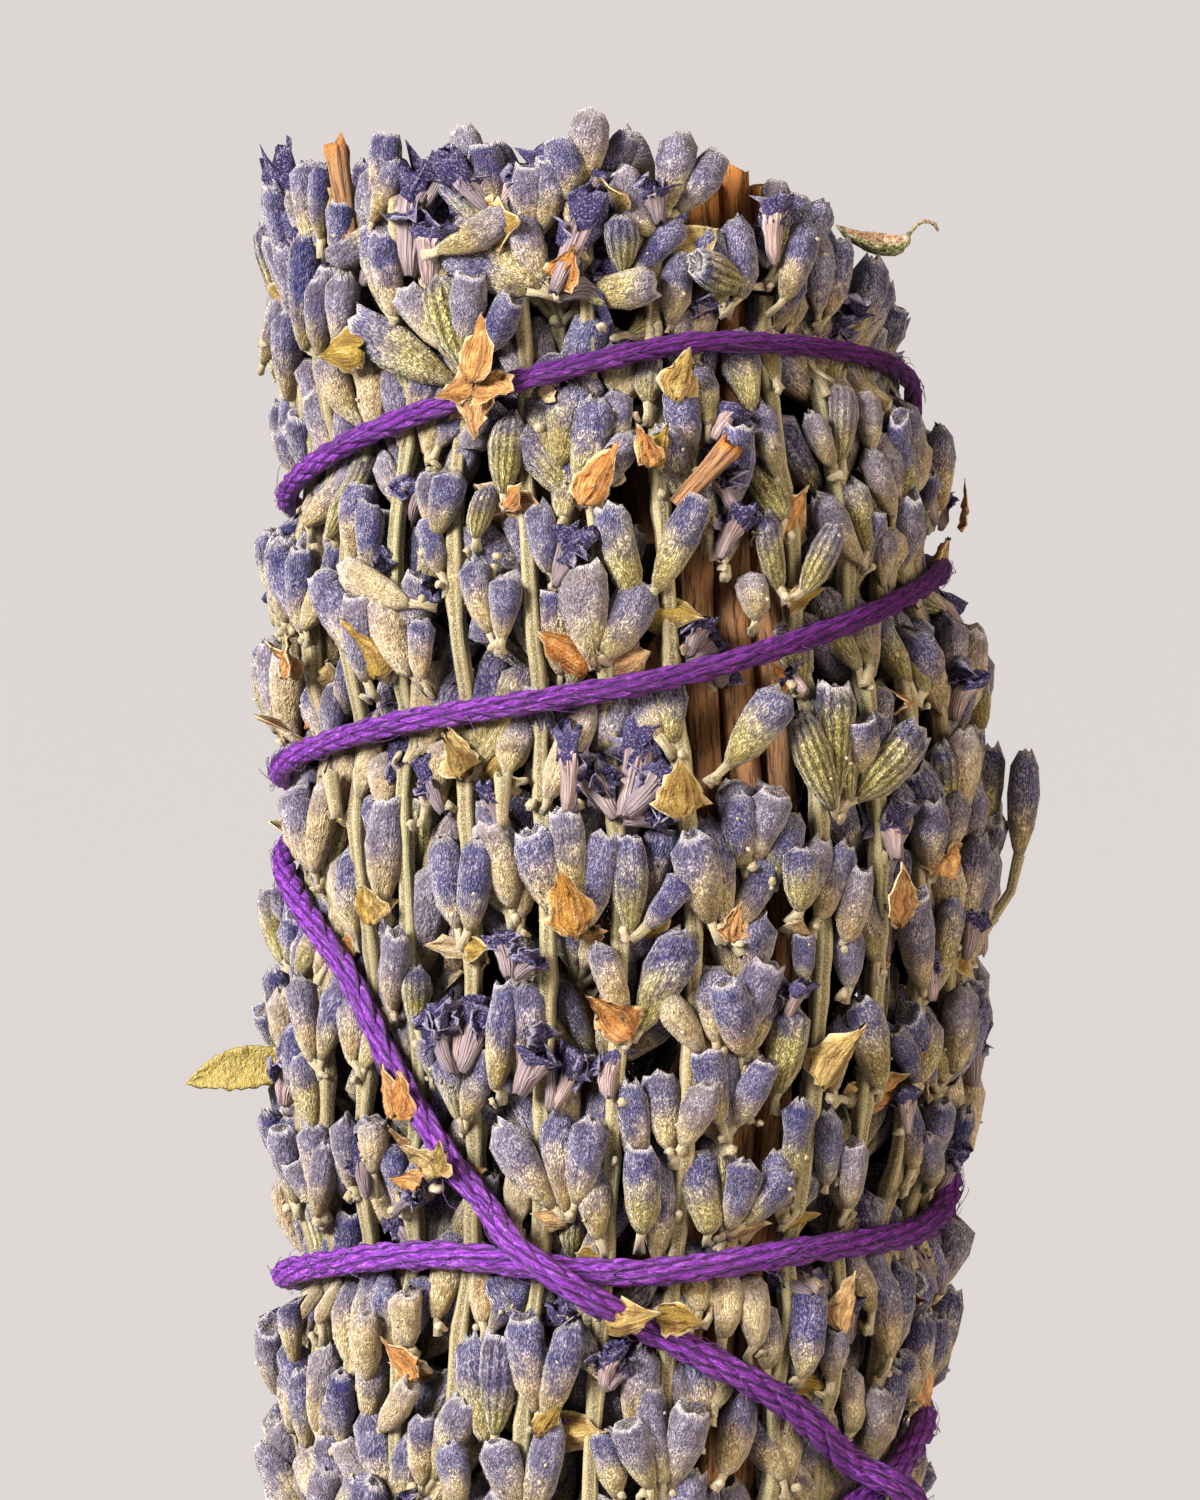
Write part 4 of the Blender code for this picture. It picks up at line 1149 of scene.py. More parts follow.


# %% [markdown]
# ** Dry stem.** Grey-green to straw, with a pale down along its four ridges and darker grooves between
# them, partly browner in colour and partly painted shade.
# The fibres run along the stem, so their noise is stretched along it. The down is drawn about 0.1 mm coarse.

# %% Dry stem
def dry_stem():
    finish, add = new_finish("dry_stem")
    on = grown(add)
    paleness, brownness, _, _ = on.tone
    down = add("TexNoise", {**across(on.place, 0.085), "Detail": 1})["Fac"]
    patch = add("TexNoise", {**across(on.place, 4), "Detail": 2})["Fac"]
    along = add("Mapping", {0: on.skin, "Scale": (3.0, 3.0, 0.16)})[0]
    fibre = add("TexNoise", {"Vector": along, "Scale": 1.3, "Detail": 2})["Fac"]
    face = add("Math", [add("Math", [on.turn, 4.0], operation="MULTIPLY")[0]], operation="COSINE")[0]
    # painted shade, partly a browner colour: the grooves between the ridges are darkened, less on pale stems
    groove = add("MapRange", [face, -0.2, 0.8, 0.0, 0.8])[0]
    unpale = add("Math", [1.0, paleness], operation="SUBTRACT")[0]
    groove = add("Math", [groove, unpale], operation="MULTIPLY")[0]
    downy = add("MapRange", [down, 0.46, 0.66, 0.05, 0.5], **SMOOTH)[0]
    # the last coat is painted shade, darker deeper in the bundle
    colour = coats(add, "#84865c", (patch, "#9c8c60"), (brownness, "#84683e"), (paleness, "#c4b094"),
                   ((fibre, 0.45, 0.66, 0.4), "#5c4c2c"), (groove, "#4a3210"), (downy, "#c9c3a6"), painted_depth_shade(on))
    height = add("Math", [fibre, 1.5, down], operation="MULTIPLY_ADD")[0]
    return complete(finish, add, colour, height, 0.08,
                    {"Roughness": 0.85, "Specular IOR Level": 0.2, "Sheen Weight": 0.25,
                     "Sheen Roughness": 0.4}, 0.6)


# %% [markdown]
# **Woody stalk.** The older wood at the core is a warm brown, fibrous, with darker cracks, and paler and
# more orange where it was cut.

# %% Woody stalk
def woody_bark():
    finish, add = new_finish("woody_bark")
    on = grown(add)
    along = add("Mapping", {0: on.skin, "Scale": (2.4, 2.4, 0.22)})[0]
    grain = add("TexNoise", {"Vector": along, "Scale": 1.5, "Detail": 6, "Roughness": 0.75})["Fac"]
    patch = add("TexNoise", {**across(on.place, 2.2), "Detail": 4, "Roughness": 0.7})["Fac"]
    cut = add("Math", [patch, 0.8, on.edge], operation="MULTIPLY_ADD")[0]
    colour = coats(add, "#7a4c2e", ((patch, 0.35, 0.65, 1.0), "#bd8454"), (on.tone[0], "#c8966a"),
                   ((cut, 0.60, 1.10, 0.9), "#dc9048"), ((grain, 0.49, 0.60, 0.85), "#3a2214"))
    return complete(finish, add, colour, grain, 0.5, {"Roughness": 0.8, "Specular IOR Level": 0.25})


# %% [markdown]
# ** Violet cotton.** Soft cotton yarn is dyed strongly and keeps a silky lustre along its fibres. Its furrows
# are painted deep purple as shade and its crowns pale lilac as painted highlights. The streaks follow the
# fibres of each ply. Towards the right and upwards the colour is painted darker and less glossy, as shade.

# %% Violet cotton
STRANDS = 4.0


def violet_cotton():
    finish, add = new_finish("violet_cotton")
    on = grown(add)
    along = add("Mapping", {0: on.skin, "Scale": (3.0, 3.0, 0.34)})[0]
    fibre = add("TexNoise", {"Vector": along, "Scale": 1.5, "Detail": 3, "Roughness": 0.7})["Fac"]
    strand = add("Math", [add("Math", [on.turn, STRANDS], operation="MULTIPLY")[0]], operation="COSINE")[0]
    # painted shade: the furrows between the strands keep the dark ground; painted highlight: pale spots on
    # their crowns
    high = add("MapRange", [strand, -1.0, -0.1, 0.0, 1.0])[0]
    crown = add("MapRange", [fibre, 0.56, 0.68, 0.0, 0.85])[0]
    crown = add("Math", [crown, high], operation="MULTIPLY")[0]
    dye_and_shade = coats(add, "#511078", ((fibre, 0.40, 0.56, 1.0), "#a644d4"))
    colour = coats(add, "#3d0c55", (high, dye_and_shade), (crown, "#cf9ce8"), (on.edge, "#b27fd4"))
    # painted shade, darker and less glossy towards the right and upwards: across the bundle in metres, and a
    # third of the height; the lower left keeps its full colour
    away = add("VectorMath", [on.place, (1.0, 0.0, 0.35)], operation="DOT_PRODUCT")["Value"]
    right_and_top_shade = add("MapRange", [away, 0.002, 0.050, 0.0, 1.0])[0]
    dye_and_shade = {0: right_and_top_shade, 6: colour, 7: (0.33, 0.10, 0.26, 1)}
    colour = add("Mix", dye_and_shade, data_type="RGBA", blend_type="MULTIPLY")[2]
    lustre = add("MapRange", [right_and_top_shade, 0.0, 1.0, 0.5, 0.2])[0]
    return complete(finish, add, colour, fibre, 0.22,
                    {"Roughness": 0.42, "Specular IOR Level": lustre, "Sheen Weight": 0.10,
                     "Sheen Roughness": 0.4, "Sheen Tint": "#d9a8ff"})


SPIKE_FINISHES = [felted_calyx(), papery_bract(), shrivelled_corolla(), dry_stem(), woody_bark()]
COTTON = violet_cotton()
print("mixed", len(SPIKE_FINISHES) + 1, "finishes")

# %% [markdown]
# ## Growing the spikes
#
# Each outer spike has its stem just inside the flower skin. Low down, under the first flowers, the bare
# stems draw in to the bound foot.

# %% Stems and stubs of a spike
FIRST_WHORL, WHORL_GAP = 23.0, 5.0
FOOT_RING = 17.7
FOOT_STEM, TOP_STEM = 0.95, 0.52
NODE_SWELL, NODE_REACH = 0.14, 0.8
WANDER, WANDER_SLOW, WANDER_QUICK = 0.5, 17, 11
FOOT_TOP, FOOT_EASE = 16, 14
STEM_STEP = 1.25
STUB_AROUND, STUB_AHEAD = 10, 0.9
STUB_THICK, WOODY_STUB_THICK = 0.44, 0.62
STUB_ALONG = np.array([0.0, 0.2, 0.4, 0.6, 0.8, 0.93, 1.0, 0.88])
STUB_GIRTH = np.array([0.85, 0.95, 0.97, 1.04, 1.1, 1.22, 1.1, 0.5])
STUB_TILT, STUB_JAG = 0.12, 0.22


def above_foot(height):
    """0 in the bound foot, rising to 1 where everything stands at its own ring."""
    return np.clip((height - FOOT_TOP) / FOOT_EASE, 0, 1)


def spike_stem(rng, ring, foot_ring, bearing, top, nodes):
    """A stem from the foot to its top node. Its ring eases from the foot's to its own; it swells at nodes."""
    height = np.append(np.arange(0, top, STEM_STEP), top)
    ease = above_foot(height)
    ease = ease * ease * (3 - 2 * ease)
    slow, quick = rng.normal(0, WANDER, 2)
    place = bearing + ease * (slow * np.sin(height / WANDER_SLOW) + quick * np.cos(height / WANDER_QUICK))
    path = on_bundle(foot_ring + (ring - foot_ring) * ease, place, height)
    path = under_string(path, STEM_REACH, 2, STEM_MARGIN)
    near = np.exp(-((height[:, None] - np.array(nodes)) / NODE_REACH) ** 2).max(1)
    radius = FOOT_STEM + (TOP_STEM - FOOT_STEM) * ease
    radius = radius * (1 - 0.15 * height / 120) + NODE_SWELL * near * (height > FIRST_WHORL - 2)
    radius = radius * np.where(height < STRAIGHT_FOOT, 0.98, 1)
    tone = (0.12 * rng.random(), 0.6 * rng.random(), 0.3, 0.0)
    return carried_tube(path, radius, STEM_AROUND, STEM, tone, groove=0.16, front=directions(bearing)[0])


def stub(row):
    """A short broken stem or cut woody twig that leans out of the flowers, with a ragged, dented end."""
    spot, lean_by, length, letter, outward, sideways, forward = row
    turn, woody, count = np.radians(lean_by), letter == "w", len(STUB_ALONG)
    arrow = unit(np.cos(turn) * UP + np.sin(turn) * sideways + STUB_TILT * outward)
    start = spot + outward * (STUB_AHEAD + forward)
    rng = np.random.default_rng(int(1000 * abs(spot[0]) + 7 * spot[2]))
    radius = (WOODY_STUB_THICK if woody else STUB_THICK) * STUB_GIRTH * rng.uniform(0.94, 1.06, count)
    edge = np.clip((np.arange(count) - 4.5) * 1.2, 0, 1)[:, None]
    made = carried_tube(start + arrow * length * np.linspace(0, 1, count)[:, None], radius, STUB_AROUND,
                        WOOD if woody else STEM, (0.9 if woody else 0.3, 0.4, 0.3, 0), groove=0.06, edge=edge)
    # laid evenly at first, the rings then slide to their own places, so that the last sinks into the cut end
    rings = made["points"].reshape(count, STUB_AROUND, 3)
    rings += (start + arrow * length * STUB_ALONG[:, None] - rings.mean(1))[:, None]
    rings[-3:-1] += arrow * rng.normal(0.0, STUB_JAG, (STUB_AROUND, 1))
    made["points"] = rings.reshape(-1, 3)
    return made


# %% [markdown]
# The crown of the bundle is ragged: highest right of its middle, with a dip on the left, and falling away to
# the right. Its outline is a curve over the sideways place. The flowers of a crown stand round the tip of
# their spike, just under that curve, but not in front of the gap where the woody stalks show.

# %% Plan one spike, and build it
CROWN = np.array([(-24, 117.0), (-19.4, 118.6), (-18.0, 121.2), (-14.8, 123.0), (-11.5, 123.8),
                  (-8.6, 122.6), (-6.0, 123.6), (-1.5, 124.2), (2.9, 125.2), (5.2, 123.0), (6.6, 120.2),
                  (10.4, 119.8), (11.8, 120.0), (13.3, 118.0), (15.7, 115.6), (17.7, 113.4), (19.1, 111.6),
                  (24, 108.5)])
CROWN_KINDS = "vvoogssddddkkkpty"
CROWN_DEPTH = 5.0
# lengths of the crown's flowers, and how far out from the tip of their spike they start
CROWN_SIZES, CROWN_OUT = (3.8, 5.8), (0.2, 2.2)
# how far under the outline they end at least, how much more by chance, and how much more per millimetre back
CROWN_CLEAR, CROWN_DROP, CROWN_FALL = 0.6, 3.4, 0.15
STALK_WINDOW = (13, 30)


def crown_at(x):
    return float(smooth_through(CROWN, x))


def plan_spike(sort, number, seed, ring, foot_ring, bearing, whorls=(), fan=5, crown=3, pitch=6.6):
    """One spike: its written and drawn whorls, and a crown of flowers at its top. Its mesh comes later."""
    bunch = Bunch(seed, ring)
    rng = bunch.rng
    for height, aside, words, forward in whorls:
        bunch.whorl(bearing, height, aside, words, forward)
    top = crown_at(on_bundle(ring, bearing, 118.0)[0])
    lowest = min([whorl[0] for whorl in whorls], default=top - 6)
    nodes = [whorl[0] for whorl in whorls if abs(whorl[1]) < 1.5]
    for height in usual_heights(rng, FIRST_WHORL, min(lowest, top) - WHORL_GAP, pitch):
        bunch.whorl(bearing, height, rng.normal(0, 0.4), usual_words(rng, fan, 7.5 * fan))
        nodes.append(height)
    for turn in np.arange(crown) * 360 / crown + rng.uniform(0, 360):
        outward, sideways = directions(turn)
        spot = on_bundle(ring, bearing, top - CROWN_DEPTH) + outward * rng.uniform(*CROWN_OUT)
        size = rng.uniform(*CROWN_SIZES)
        under = crown_at(spot[0]) - size - CROWN_CLEAR - rng.uniform(0, CROWN_DROP)
        spot[2] = under - CROWN_FALL * max(spot[1], 0)
        at = np.degrees(np.arctan2(spot[0], -spot[1]))
        if sort != "inner" and STALK_WINDOW[0] < at < STALK_WINDOW[1]:
            continue
        kind, lean_by = drawn(rng, CROWN_KINDS), rng.normal(0, 22)
        size = 0.6 * size if kind in "ty" else size
        bunch.grow(spot, outward, sideways, kind, lean_by, size, rng.uniform(-0.1, 0.9), STALK_LENGTH, 0.0)
    return SimpleNamespace(sort=sort, number=number, bunch=bunch,
                           stem=(ring, foot_ring, bearing, top - CROWN_DEPTH, nodes))


def build_spike(plan, more=()):
    """The stem, the flowers and the stubs of one spike, as one piece."""
    bunch = plan.bunch
    stem = spike_stem(bunch.rng, *plan.stem)
    batches = [*bunch.batches(), stem, *(stub(row) for row in bunch.rows["stub"]), *more]
    return make_piece(f"lavender_spike_{plan.sort}_{plan.number}", batches, SPIKE_FINISHES,
                      f"{plan.sort}_spike_{plan.number}")


# %% [markdown]
# Outer spikes stand at the skin. The second layer fills what shows between them, so its whorls follow more
# closely and its flowers reach out nearly to the outer stems. The inner spikes only show at the top.

# %% Plan and settle all spikes
MIDDLE_PLACES, MIDDLE_TURN, INNER_PLACES = 12, 21, 7
# the radius that their stems keep, and the one at the foot
MIDDLE_RINGS, INNER_RINGS = (17.2, 13.6), (8.4, 8.0)
plans = []
for k, bearing in enumerate(OUTER_BEARINGS, 1):
    written = written_whorls(FRONT_WHORLS.get(k, ""))
    plans.append(plan_spike("outer", f"{k:02d}", 100 + k, STEM_RING, FOOT_RING, bearing, written,
                            crown=3 if written else 7))
for k in range(1, MIDDLE_PLACES):
    bearing = MIDDLE_TURN + 360 / MIDDLE_PLACES * k
    plans.append(plan_spike("middle", f"{k:02d}", 200 + k, *MIDDLE_RINGS, bearing, crown=13, pitch=5.4))
for k in range(INNER_PLACES):
    bearing = 360 / INNER_PLACES * k
    plans.append(plan_spike("inner", k + 1, 300 + k, *INNER_RINGS, bearing, fan=3, crown=16, pitch=9.0))
settle_all([plan.bunch for plan in plans], OUTER_BEARINGS)

# %% [markdown]
# One flower bud stands off the right side on a bent side shoot of its spike, clear of the bundle.

# %% Build the spikes
SIDE_SHOOT = np.array([(21.0, -2.4, 75.4), (22.8, -2.6, 78.2), (24.4, -2.6, 80.6), (24.9, -2.6, 82.8)])
SHOOT_THICK = np.array([0.42, 0.36, 0.33, 0.40])
SIDE_SHOOT_SPIKE = "14"
SHOOT_AROUND = 8
BUD_LENGTH, BUD_WIDTH, BUD_TONE = 6.2, 1.9, (0.62, 0.0, 0.85, 0.4)


def side_bud():
    """The shoot is a thin carried tube; the bud is one calyx on its end."""
    shoot = carried_tube(SIDE_SHOOT, SHOOT_THICK, SHOOT_AROUND, STEM, (0.1, 0.5, 0.3, 0), groove=0.1)
    way = unit(np.array([[0.06, 0.0, 1.0]]))
    bud = calyxes(np.random.default_rng(99), SIDE_SHOOT[-1:] - way * 0.2, way, FRONT[None],
                  np.array([BUD_LENGTH]), np.array([BUD_WIDTH]), np.array([BUD_TONE]))
    return [shoot, bud]


for plan in plans:
    has_bud = plan.sort == "outer" and plan.number == SIDE_SHOOT_SPIKE
    build_spike(plan, side_bud() if has_bud else ())
print("built", len(plans), "spikes")

# %% [markdown]
# ## The woody stalks
#
# Stalks of older wood stiffen the core. They are knobbly tubes with a splintered, sawn top that shows at the
# crown of the bundle and in a narrow gap right of the front.

# %% Woody stalks
STALK_AROUND, STALK_STEP, LUMPS = 12, 1.6, 14
CUT_DEPTH, CUT_LENGTH, SAW_TILT, SAW_JAG = 6, 5.5, 0.3, 0.14
# bearing and top of each stalk in the gap, and for each set its rings at the foot and above, and its radius
GAP_STALKS = [(15, 121.4), (22.5, 122.1), (30, 121.3)]
GAP_RINGS, GAP_THICK, GAP_DRIFT = (14.6, 16.6), 0.95, 8
DRIFT_FROM, DRIFT_OVER = 96, 20
CORE_STALKS, CORE_RINGS, CORE_THICK, CORE_TOP = 4, (3.5, 3.5), 1.5, 121.5


def woody_stalk(name, node, seed, rings, bearing, top, radius, paleness=0.1, drift=0):
    """A carried tube with a lumpy radius, whose last rings are ragged and turn to the colour of cut wood. Its
    ring eases from its foot's to its own, and near the top its bearing drifts."""
    rng = np.random.default_rng(seed)
    height = np.append(np.arange(0, top - 1, STALK_STEP), [top - 0.4, top])
    ring = rings[0] + (rings[1] - rings[0]) * above_foot(height)
    drift = drift * np.clip((height - DRIFT_FROM) / DRIFT_OVER, 0, 1)
    path = on_bundle(ring, bearing + drift, height)
    lumps = stacked(np.linspace(0, top, LUMPS), rng.uniform(0.86, 1.1, LUMPS))
    radius = radius * smooth_through(lumps, height) * swell(height)
    edge = np.clip((height - (top - CUT_DEPTH)) / CUT_LENGTH, 0, 1)[:, None]
    made = carried_tube(path, radius, STALK_AROUND, 0, (paleness, 0.5, 0.5, 0), groove=0.05,
                        front=directions(bearing)[0], edge=edge)
    points = made["points"].reshape(len(height), STALK_AROUND, 3)
    points[1:-3] += rng.normal(0, 0.03, points[1:-3].shape)
    splinters = rng.normal(0, SAW_JAG, STALK_AROUND)
    points[-2:, :, 2] += splinters + SAW_TILT * np.cos(turns(STALK_AROUND) + rng.uniform(0, 6))
    made["points"] = points.reshape(-1, 3)
    return make_piece(name, [made], [SPIKE_FINISHES[WOOD]], node)


for k, (bearing, top) in enumerate(GAP_STALKS, 1):
    woody_stalk(f"stalk_in_gap_{k}", f"woody_stalk_{k}", 400 + k, GAP_RINGS, bearing, top, GAP_THICK,
                paleness=0.7, drift=GAP_DRIFT)
for k in range(CORE_STALKS):
    woody_stalk(f"stalk_in_core_{k + 1}", f"woody_stalk_{k + 1 + len(GAP_STALKS)}", 410 + k, CORE_RINGS,
                360 / CORE_STALKS * (k + 0.5), CORE_TOP + k, CORE_THICK)
woody_stalk("stalk_in_middle", "middle_stalk", 420, (0.0, 0.0), 0, CORE_TOP, CORE_THICK)
print("built", len(GAP_STALKS) + CORE_STALKS + 1, "woody stalks")

# %% [markdown]
# ## The string
#
# The string is four plies twisted together. It could be one tube with a bump, but the furrows between the
# plies show at its outline, so each ply is a tube of its own, carried along a helix round the string's
# middle. Points are spaced evenly along the string, because equal steps of bearing would leave them far
# apart where it runs steeply.

# %% The plies of the string
PLIES, PLY_RADIUS, PLY_OFFSET, PLY_AROUND = 4, 0.45, 0.42, 12
TWIST_PITCH, STRAND_TWIST, STRAND_RISE = 8.5, -1.0, 0.11
# so far apart along the grain, no two plies show the same streaks
PLY_SHIFT = 50
BEARING_STEP, STRING_STEP = 0.5, 1.1
YARN_TONE = (0.5, 0.5, 0.5, 0)
# bearing and thickness: pulled thin on its way over the top, slack where it comes down across the front
STRING_SIZE = np.array([(168, 0.95), (1900, 0.95), (2040, 0.84), (2160, 0.82), (2250, 0.74), (2430, 0.80),
                        (2520, 0.76), (2610, 0.66), (2720, 0.78), (2790, 0.84), (2850, 0.86), (2890, 0.98),
                        (2934, 1.0), (3220, 0.9)])


def even_steps(path, step):
    """The same path with its points a step apart, how far along each is, and its number on the old path."""
    run = distance_along(path)
    wanted = np.linspace(0, run[-1], int(round(run[-1] / step)) + 1)
    number = np.interp(wanted, run, np.arange(len(path)))
    return stacked(*(np.interp(wanted, run, part) for part in path.T)), wanted, number


def yarn(path, run, outward, size=1.0):
    """Each ply's middle circles the path once a pitch. A ply is itself four strands twisted the other way, so
    they lie nearly along the string: radius = 1 + a tenth of the cosine of four times a turn that winds
    along it."""
    forward, left = cross_arrows(unit(np.gradient(path, axis=0)), outward)
    made = []
    for ply in range(PLIES):
        turn = (run / TWIST_PITCH + ply / PLIES) * 2 * np.pi
        aside = PLY_OFFSET * size
        middle = offset(path, forward, aside * np.cos(turn), left, aside * np.sin(turn))
        fluff = 1 + 0.07 * np.sin(1.3 * run + 2 * ply) + 0.05 * np.sin(3.1 * run + ply)
        tube = carried_tube(middle, PLY_RADIUS * size * fluff, PLY_AROUND, 0, YARN_TONE, front=outward)
        spin = turns(PLY_AROUND) - run[:, None] * STRAND_TWIST
        strand = (1 + STRAND_RISE * np.cos(STRANDS * spin))[..., None]
        middle = middle[:, None]
        points = tube["points"].reshape(len(run), PLY_AROUND, 3)
        tube["points"] = (middle + (points - middle) * strand).reshape(-1, 3)
        tube["skin"] = stacked(np.cos(spin), np.sin(spin), run[:, None] + ply * PLY_SHIFT).reshape(-1, 3)
        made.append(tube)
    return made


bearings = np.arange(FIRST_BEARING, LAST_BEARING + 0.01, BEARING_STEP)
string_path, string_run, string_number = even_steps(string_middle(bearings), STRING_STEP)
string_size = smooth_through(STRING_SIZE, np.interp(string_number, np.arange(len(bearings)), bearings))
string_out = level_arrow(string_path)[0]
# a thinner stretch sinks, so that it still rests on the flowers
string_path = string_path - unit(string_out) * ((1 - string_size) * STRING / 2)[:, None]
print(f"string is {string_run[-1]:.0f} mm long")

# %% [markdown]
# Two small knots hold the string, one at the back of the foot and one at its front left. Each is a trefoil
# loop of the same yarn pulled tight. Loose fibres stand off the string here and there, each a thin tapering
# closed tube.

# %% Knots and loose fibres
KNOT_SIZE, KNOT_STEP = 0.46, 0.3
# bearing, and how far out of the string's middle
KNOTS = [(179, 1.7), (3210, -0.5)]
# drawn three times as thick as a real cotton fibre, so that it shows
FIBRES, FIBRE_RINGS, FIBRE_AROUND, FIBRE_THICK = 1500, 5, 3, 0.032
FIBRE_SPANS, FIBRE_HEIGHTS, FIBRE_CURL = (1.0, 3.6), (0.0, 0.42), 0.5
# fibres are pale, as the edge of a skin is
FIBRE_EDGE = 0.8


def knot(bearing, out):
    """The trefoil: sine t + 2 sine 2t, cosine t - 2 cosine 2t, and minus 1.3 sine 3t for its thickness."""
    t = np.linspace(0, 2 * np.pi, 90)
    loop = stacked(np.sin(t) + 2 * np.sin(2 * t), np.cos(t) - 2 * np.cos(2 * t), -1.3 * np.sin(3 * t))
    outward, sideways = directions(bearing)
    middle = string_middle(np.array([float(bearing)]))[0] + outward * out
    path, run, _ = even_steps(middle + KNOT_SIZE * loop @ np.stack([sideways, UP, outward]), KNOT_STEP)
    return yarn(path, run, unit(path - middle + outward * 0.3))


def loose_fibres(rng, count):
    """Five rings along a curled arc that starts in the string and ends free or back on it."""
    one = (count, 1, 1)
    start = rng.integers(5, len(string_path) - 6, count)
    axis = unit(string_path[start + 2] - string_path[start - 2])
    outward = unit(string_out[start] + rng.normal(0, 7, (count, 3)))
    across = np.cross(axis, outward)
    middle, size = per_copy(string_path[start], string_size[start])
    axis, outward, across = per_copy(axis, outward, across)
    t = np.linspace(0, 1, FIBRE_RINGS)[:, None]
    run = rng.uniform(*FIBRE_SPANS, one) * (t - 0.5)
    height = rng.uniform(*FIBRE_HEIGHTS, one) ** 1.5
    rise = 0.82 * size + height * np.sin(np.pi * t * rng.uniform(0.6, 1.1, one))
    curl = rng.normal(0, FIBRE_CURL, one) * np.sin(2.2 * t)
    path = offset(middle, outward, rise, across, curl) + axis * run[..., None]
    arrows = unit(np.gradient(path, axis=1))
    forward = unit(np.cross(arrows, across))
    cosine, sine = round_places(FIBRE_AROUND)
    radius = FIBRE_THICK * (1 - 0.6 * t)
    points = offset(path, forward, radius * cosine, np.cross(arrows, forward), radius * sine)
    return batch(points, 0, (cosine, sine, t + start[:, None, None]), YARN_TONE, FIBRE_EDGE)


string_batches = yarn(string_path, string_run, unit(string_out), string_size)
for bearing, out in KNOTS:
    string_batches += knot(bearing, out)
string_batches.append(loose_fibres(np.random.default_rng(23), FIBRES))
make_piece("violet_string", string_batches, [COTTON], "tie_string")
print("the string has", sum(len(b["points"]) for b in string_batches), "points")

# %% [markdown]
# ## Two loose leaves
#
# A curled leaf is caught in the flowers at the top right: it has rolled into a little boat, rough outside
# and pinkish within, and its stalk curls up at the end. An oval one stands off the left side. Both are
# sheets bent across a path: each ring goes along the outside from edge to edge and back again inside. The
# grain of the skin is drawn a fifth of a millimetre coarse, and weaker on the yellow leaf.

# %% Loose leaves
def leaf_skin():
    finish, add = new_finish("dry_leaf_skin")
    on = grown(add)
    yellow = on.tone[0]
    grain = add("TexNoise", {**across(on.place, 0.22), "Detail": 2, "Roughness": 0.7})["Fac"]
    patch = add("TexNoise", {**across(on.place, 0.9), "Detail": 2})["Fac"]
    unyellow = add("Math", [1.0, yellow], operation="SUBTRACT")[0]
    within = add("Math", [on.y, unyellow], operation="MULTIPLY")[0]
    rough = add("MapRange", [yellow, 0.0, 0.9, 0.85, 0.25])[0]
    colour = coats(add, "#5c6836", (patch, "#8f9058"), (yellow, "#a3903f"), (within, "#c89a80"),
                   ((grain, 0.48, 0.36, rough), "#2b2c17"), ((grain, 0.50, 0.60, rough), "#cfcaa8"))
    return complete(finish, add, colour, grain, 0.22, {"Roughness": 0.8, "Specular IOR Level": 0.3})


LEAF = leaf_skin()
LEAF_ROWS, LEAF_ACROSS, LEAF_THICK, LEAF_LUMPS = 26, 11, 0.22, 0.07
CURLED_COURSE = [(13.7, -8.2, 119.5), (14.5, -8.0, 118.7), (15.6, -7.4, 118.1), (16.8, -6.6, 118.0),
                 (17.7, -6.0, 118.6), (18.2, -5.6, 119.3), (18.8, -5.2, 119.95), (19.5, -4.8, 120.0),
                 (19.9, -4.6, 119.6)]
CURLED_WIDTHS = [(0, 0.08), (0.12, 0.85), (0.3, 1.65), (0.42, 1.6), (0.52, 0.85), (0.6, 0.22), (0.8, 0.19),
                 (1, 0.15)]
SIDE_COURSE = [(-18.6, -0.8, 70.2), (-21.8, -1.4, 69.9), (-24.7, -1.6, 69.1)]
SIDE_WIDTHS = [(0, 0.9), (0.3, 1.35), (0.55, 1.25), (0.85, 0.6), (1, 0.06)]


def dry_leaf(name, node, seed, course, widths, bend, front, tone):
    """A sheet bent across its course into an arc of this many degrees, as wide along the arc as widths says.
    Side = sine and rise = 1 - cosine of the turn, times width over angle."""
    rng = np.random.default_rng(seed)
    t = np.linspace(0, 1, LEAF_ROWS)
    rows = np.linspace(0, 1, len(course))
    path = stacked(*(smooth_through(stacked(rows, part), t) for part in np.array(course).T))
    half = smooth_through(widths, t)[:, None]
    forward, left = cross_arrows(unit(np.gradient(path, axis=0)), np.array(front))
    s = np.linspace(-1, 1, LEAF_ACROSS)
    turn, arc = s * np.radians(bend) / 2, half / (np.radians(bend) / 2)
    lump = rng.normal(0, LEAF_LUMPS, (LEAF_ROWS, LEAF_ACROSS)) * np.clip(half / 0.4, 0.2, 1)
    outer, inner = arc + lump, arc - np.minimum(LEAF_THICK, half) + lump
    depth, turn = np.concatenate([outer, inner[:, ::-1]], 1), there_and_back(turn)
    ahead, aside = arc - depth * np.cos(turn), depth * np.sin(turn)
    points = offset(path[:, None], forward[:, None], ahead, left[:, None], aside)
    skin = (there_and_back(s), np.repeat([0.0, 1.0], LEAF_ACROSS), t[:, None])
    return make_piece(name, [batch(points[None], 0, skin, tone)], [LEAF], node)


dry_leaf("leaf_curled_at_top", "curled_leaf", 31, CURLED_COURSE, CURLED_WIDTHS, bend=160, front=(0, -0.55, 1),
         tone=(0.05, 0.7, 0.2, 0))
dry_leaf("leaf_at_side", "side_leaf", 32, SIDE_COURSE, SIDE_WIDTHS, bend=60, front=(0, -1, 0.2),
         tone=(0.9, 0.7, 0.1, 0))
print("added two leaves")

# %% [markdown]
# ## The studio
#
# The bundle stands on a pale surface in soft light: a broad key from the front left, a weaker fill from the
# right, and an even pale surround. The floor fades out into the surround, so that there is no hard horizon.
# Lengths here are in metres, as Blender counts them.

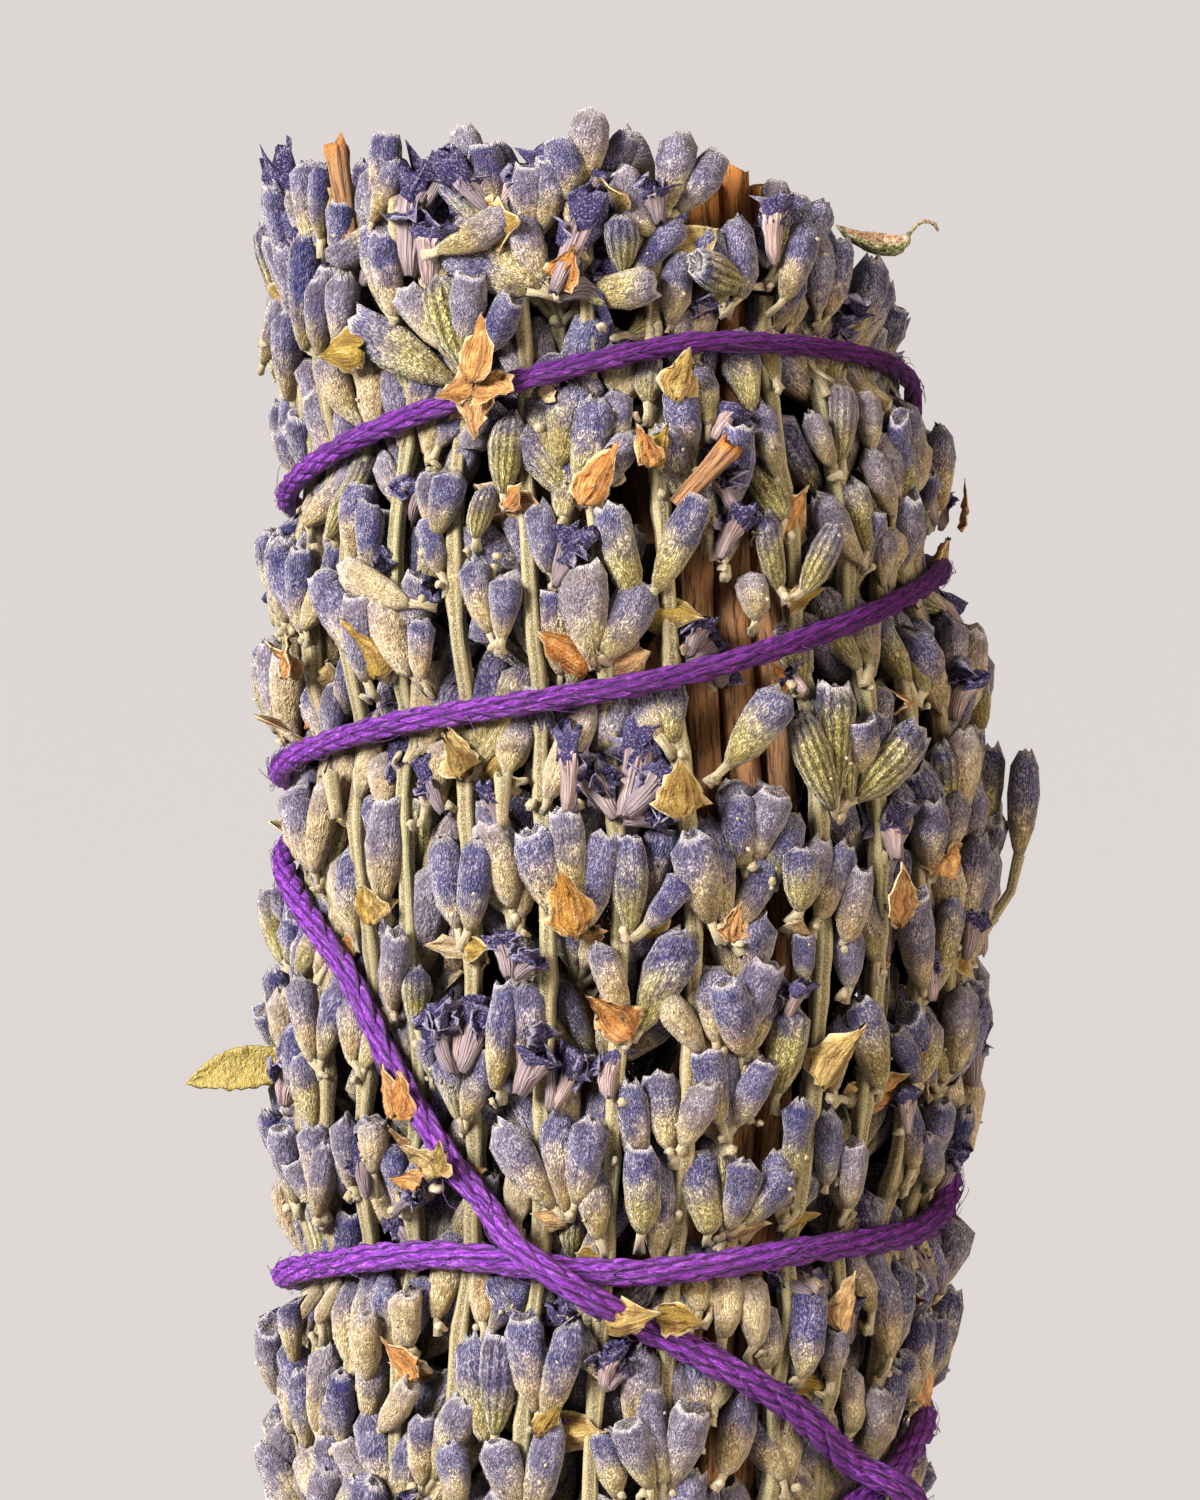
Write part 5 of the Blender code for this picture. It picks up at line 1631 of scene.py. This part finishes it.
# %% Floor and surround
FLOOR_RADIUS, FLOOR_SIDES = 0.24, 64
FADE_FROM, FADE_TO = 0.09, 0.22


def pale_floor():
    finish, add = new_finish("pale_floor")
    away = add("VectorMath", [add("TexCoord")["Object"]], operation="LENGTH")["Value"]
    fade = add("MapRange", [away, FADE_FROM, FADE_TO, 0.0, 1.0], **SMOOTH)[0]
    paper = add("BsdfPrincipled", {"Base Color": "#a8a29e", "Roughness": 0.9})[0]
    clear = add("BsdfTransparent")[0]
    add("OutputMaterial", {"Surface": add("MixShader", [fade, paper, clear])[0]})
    return finish


def floor():
    rim = stacked(*round_places(FLOOR_SIDES), 0.0) * FLOOR_RADIUS
    mesh = bpy.data.meshes.new("floor")
    mesh.from_pydata(rim.tolist(), [], [list(range(FLOOR_SIDES))])
    mesh.materials.append(pale_floor())
    in_scene("floor", mesh)


def surround():
    """A pale world, brighter to the camera than as a light, and a shade darker above than below."""
    world = bpy.data.worlds.new("surround")
    world.use_nodes = True
    world.node_tree.nodes.clear()
    add = partial(add_node, world.node_tree)
    rise = add("SeparateXYZ", [add("TexCoord")["Generated"]])["Z"]
    colour = coats(add, "#dfd8d5", ((rise, -0.17, 0.17, 1.0), "#ddd6d4"))
    seen = add("LightPath")["Is Camera Ray"]
    strength = add("MapRange", [seen, 0.0, 1.0, 0.22, 1.0])[0]
    add("OutputWorld", {"Surface": add("Background", [colour, strength])[0]})
    bpy.context.scene.world = world


floor()
surround()
print("laid a floor", 2 * FLOOR_RADIUS, "m across")

# %% Lights and camera
# place, size, power and colour of each lamp
LAMPS = {"key_light": ((-0.48, -0.46, 0.34), 0.26, 15.7, (1.0, 0.97, 0.95)),
         "fill_light": ((0.60, -0.42, 0.12), 0.50, 5.5, (1.0, 0.84, 0.66)),
         "top_light": ((-0.05, 0.25, 0.65), 0.35, 0.6, (1.0, 0.95, 0.9))}
LAMPS_AIM = Vector((0, 0, 0.085))
EYE, LENS, SENSOR = (0, -0.270, 0.089), 108, 36

for name, (place, size, power, colour) in LAMPS.items():
    light = bpy.data.lights.new(name, "AREA")
    light.size = size
    light.energy = power
    light.color = colour
    lamp = in_scene(name, light)
    lamp.location = place
    lamp.rotation_euler = (LAMPS_AIM - lamp.location).to_track_quat("-Z", "Y").to_euler()
    lamp.visible_camera = False

lens = bpy.data.cameras.new("camera")
lens.lens = LENS
lens.sensor_width = SENSOR
lens.clip_start = 0.01
camera = in_scene("camera", lens)
camera.location = EYE
camera.rotation_euler = (np.pi / 2, 0, 0)
bpy.context.scene.camera = camera
bpy.context.scene.view_settings.view_transform = "Standard"
print("lit by", len(LAMPS), "lamps")
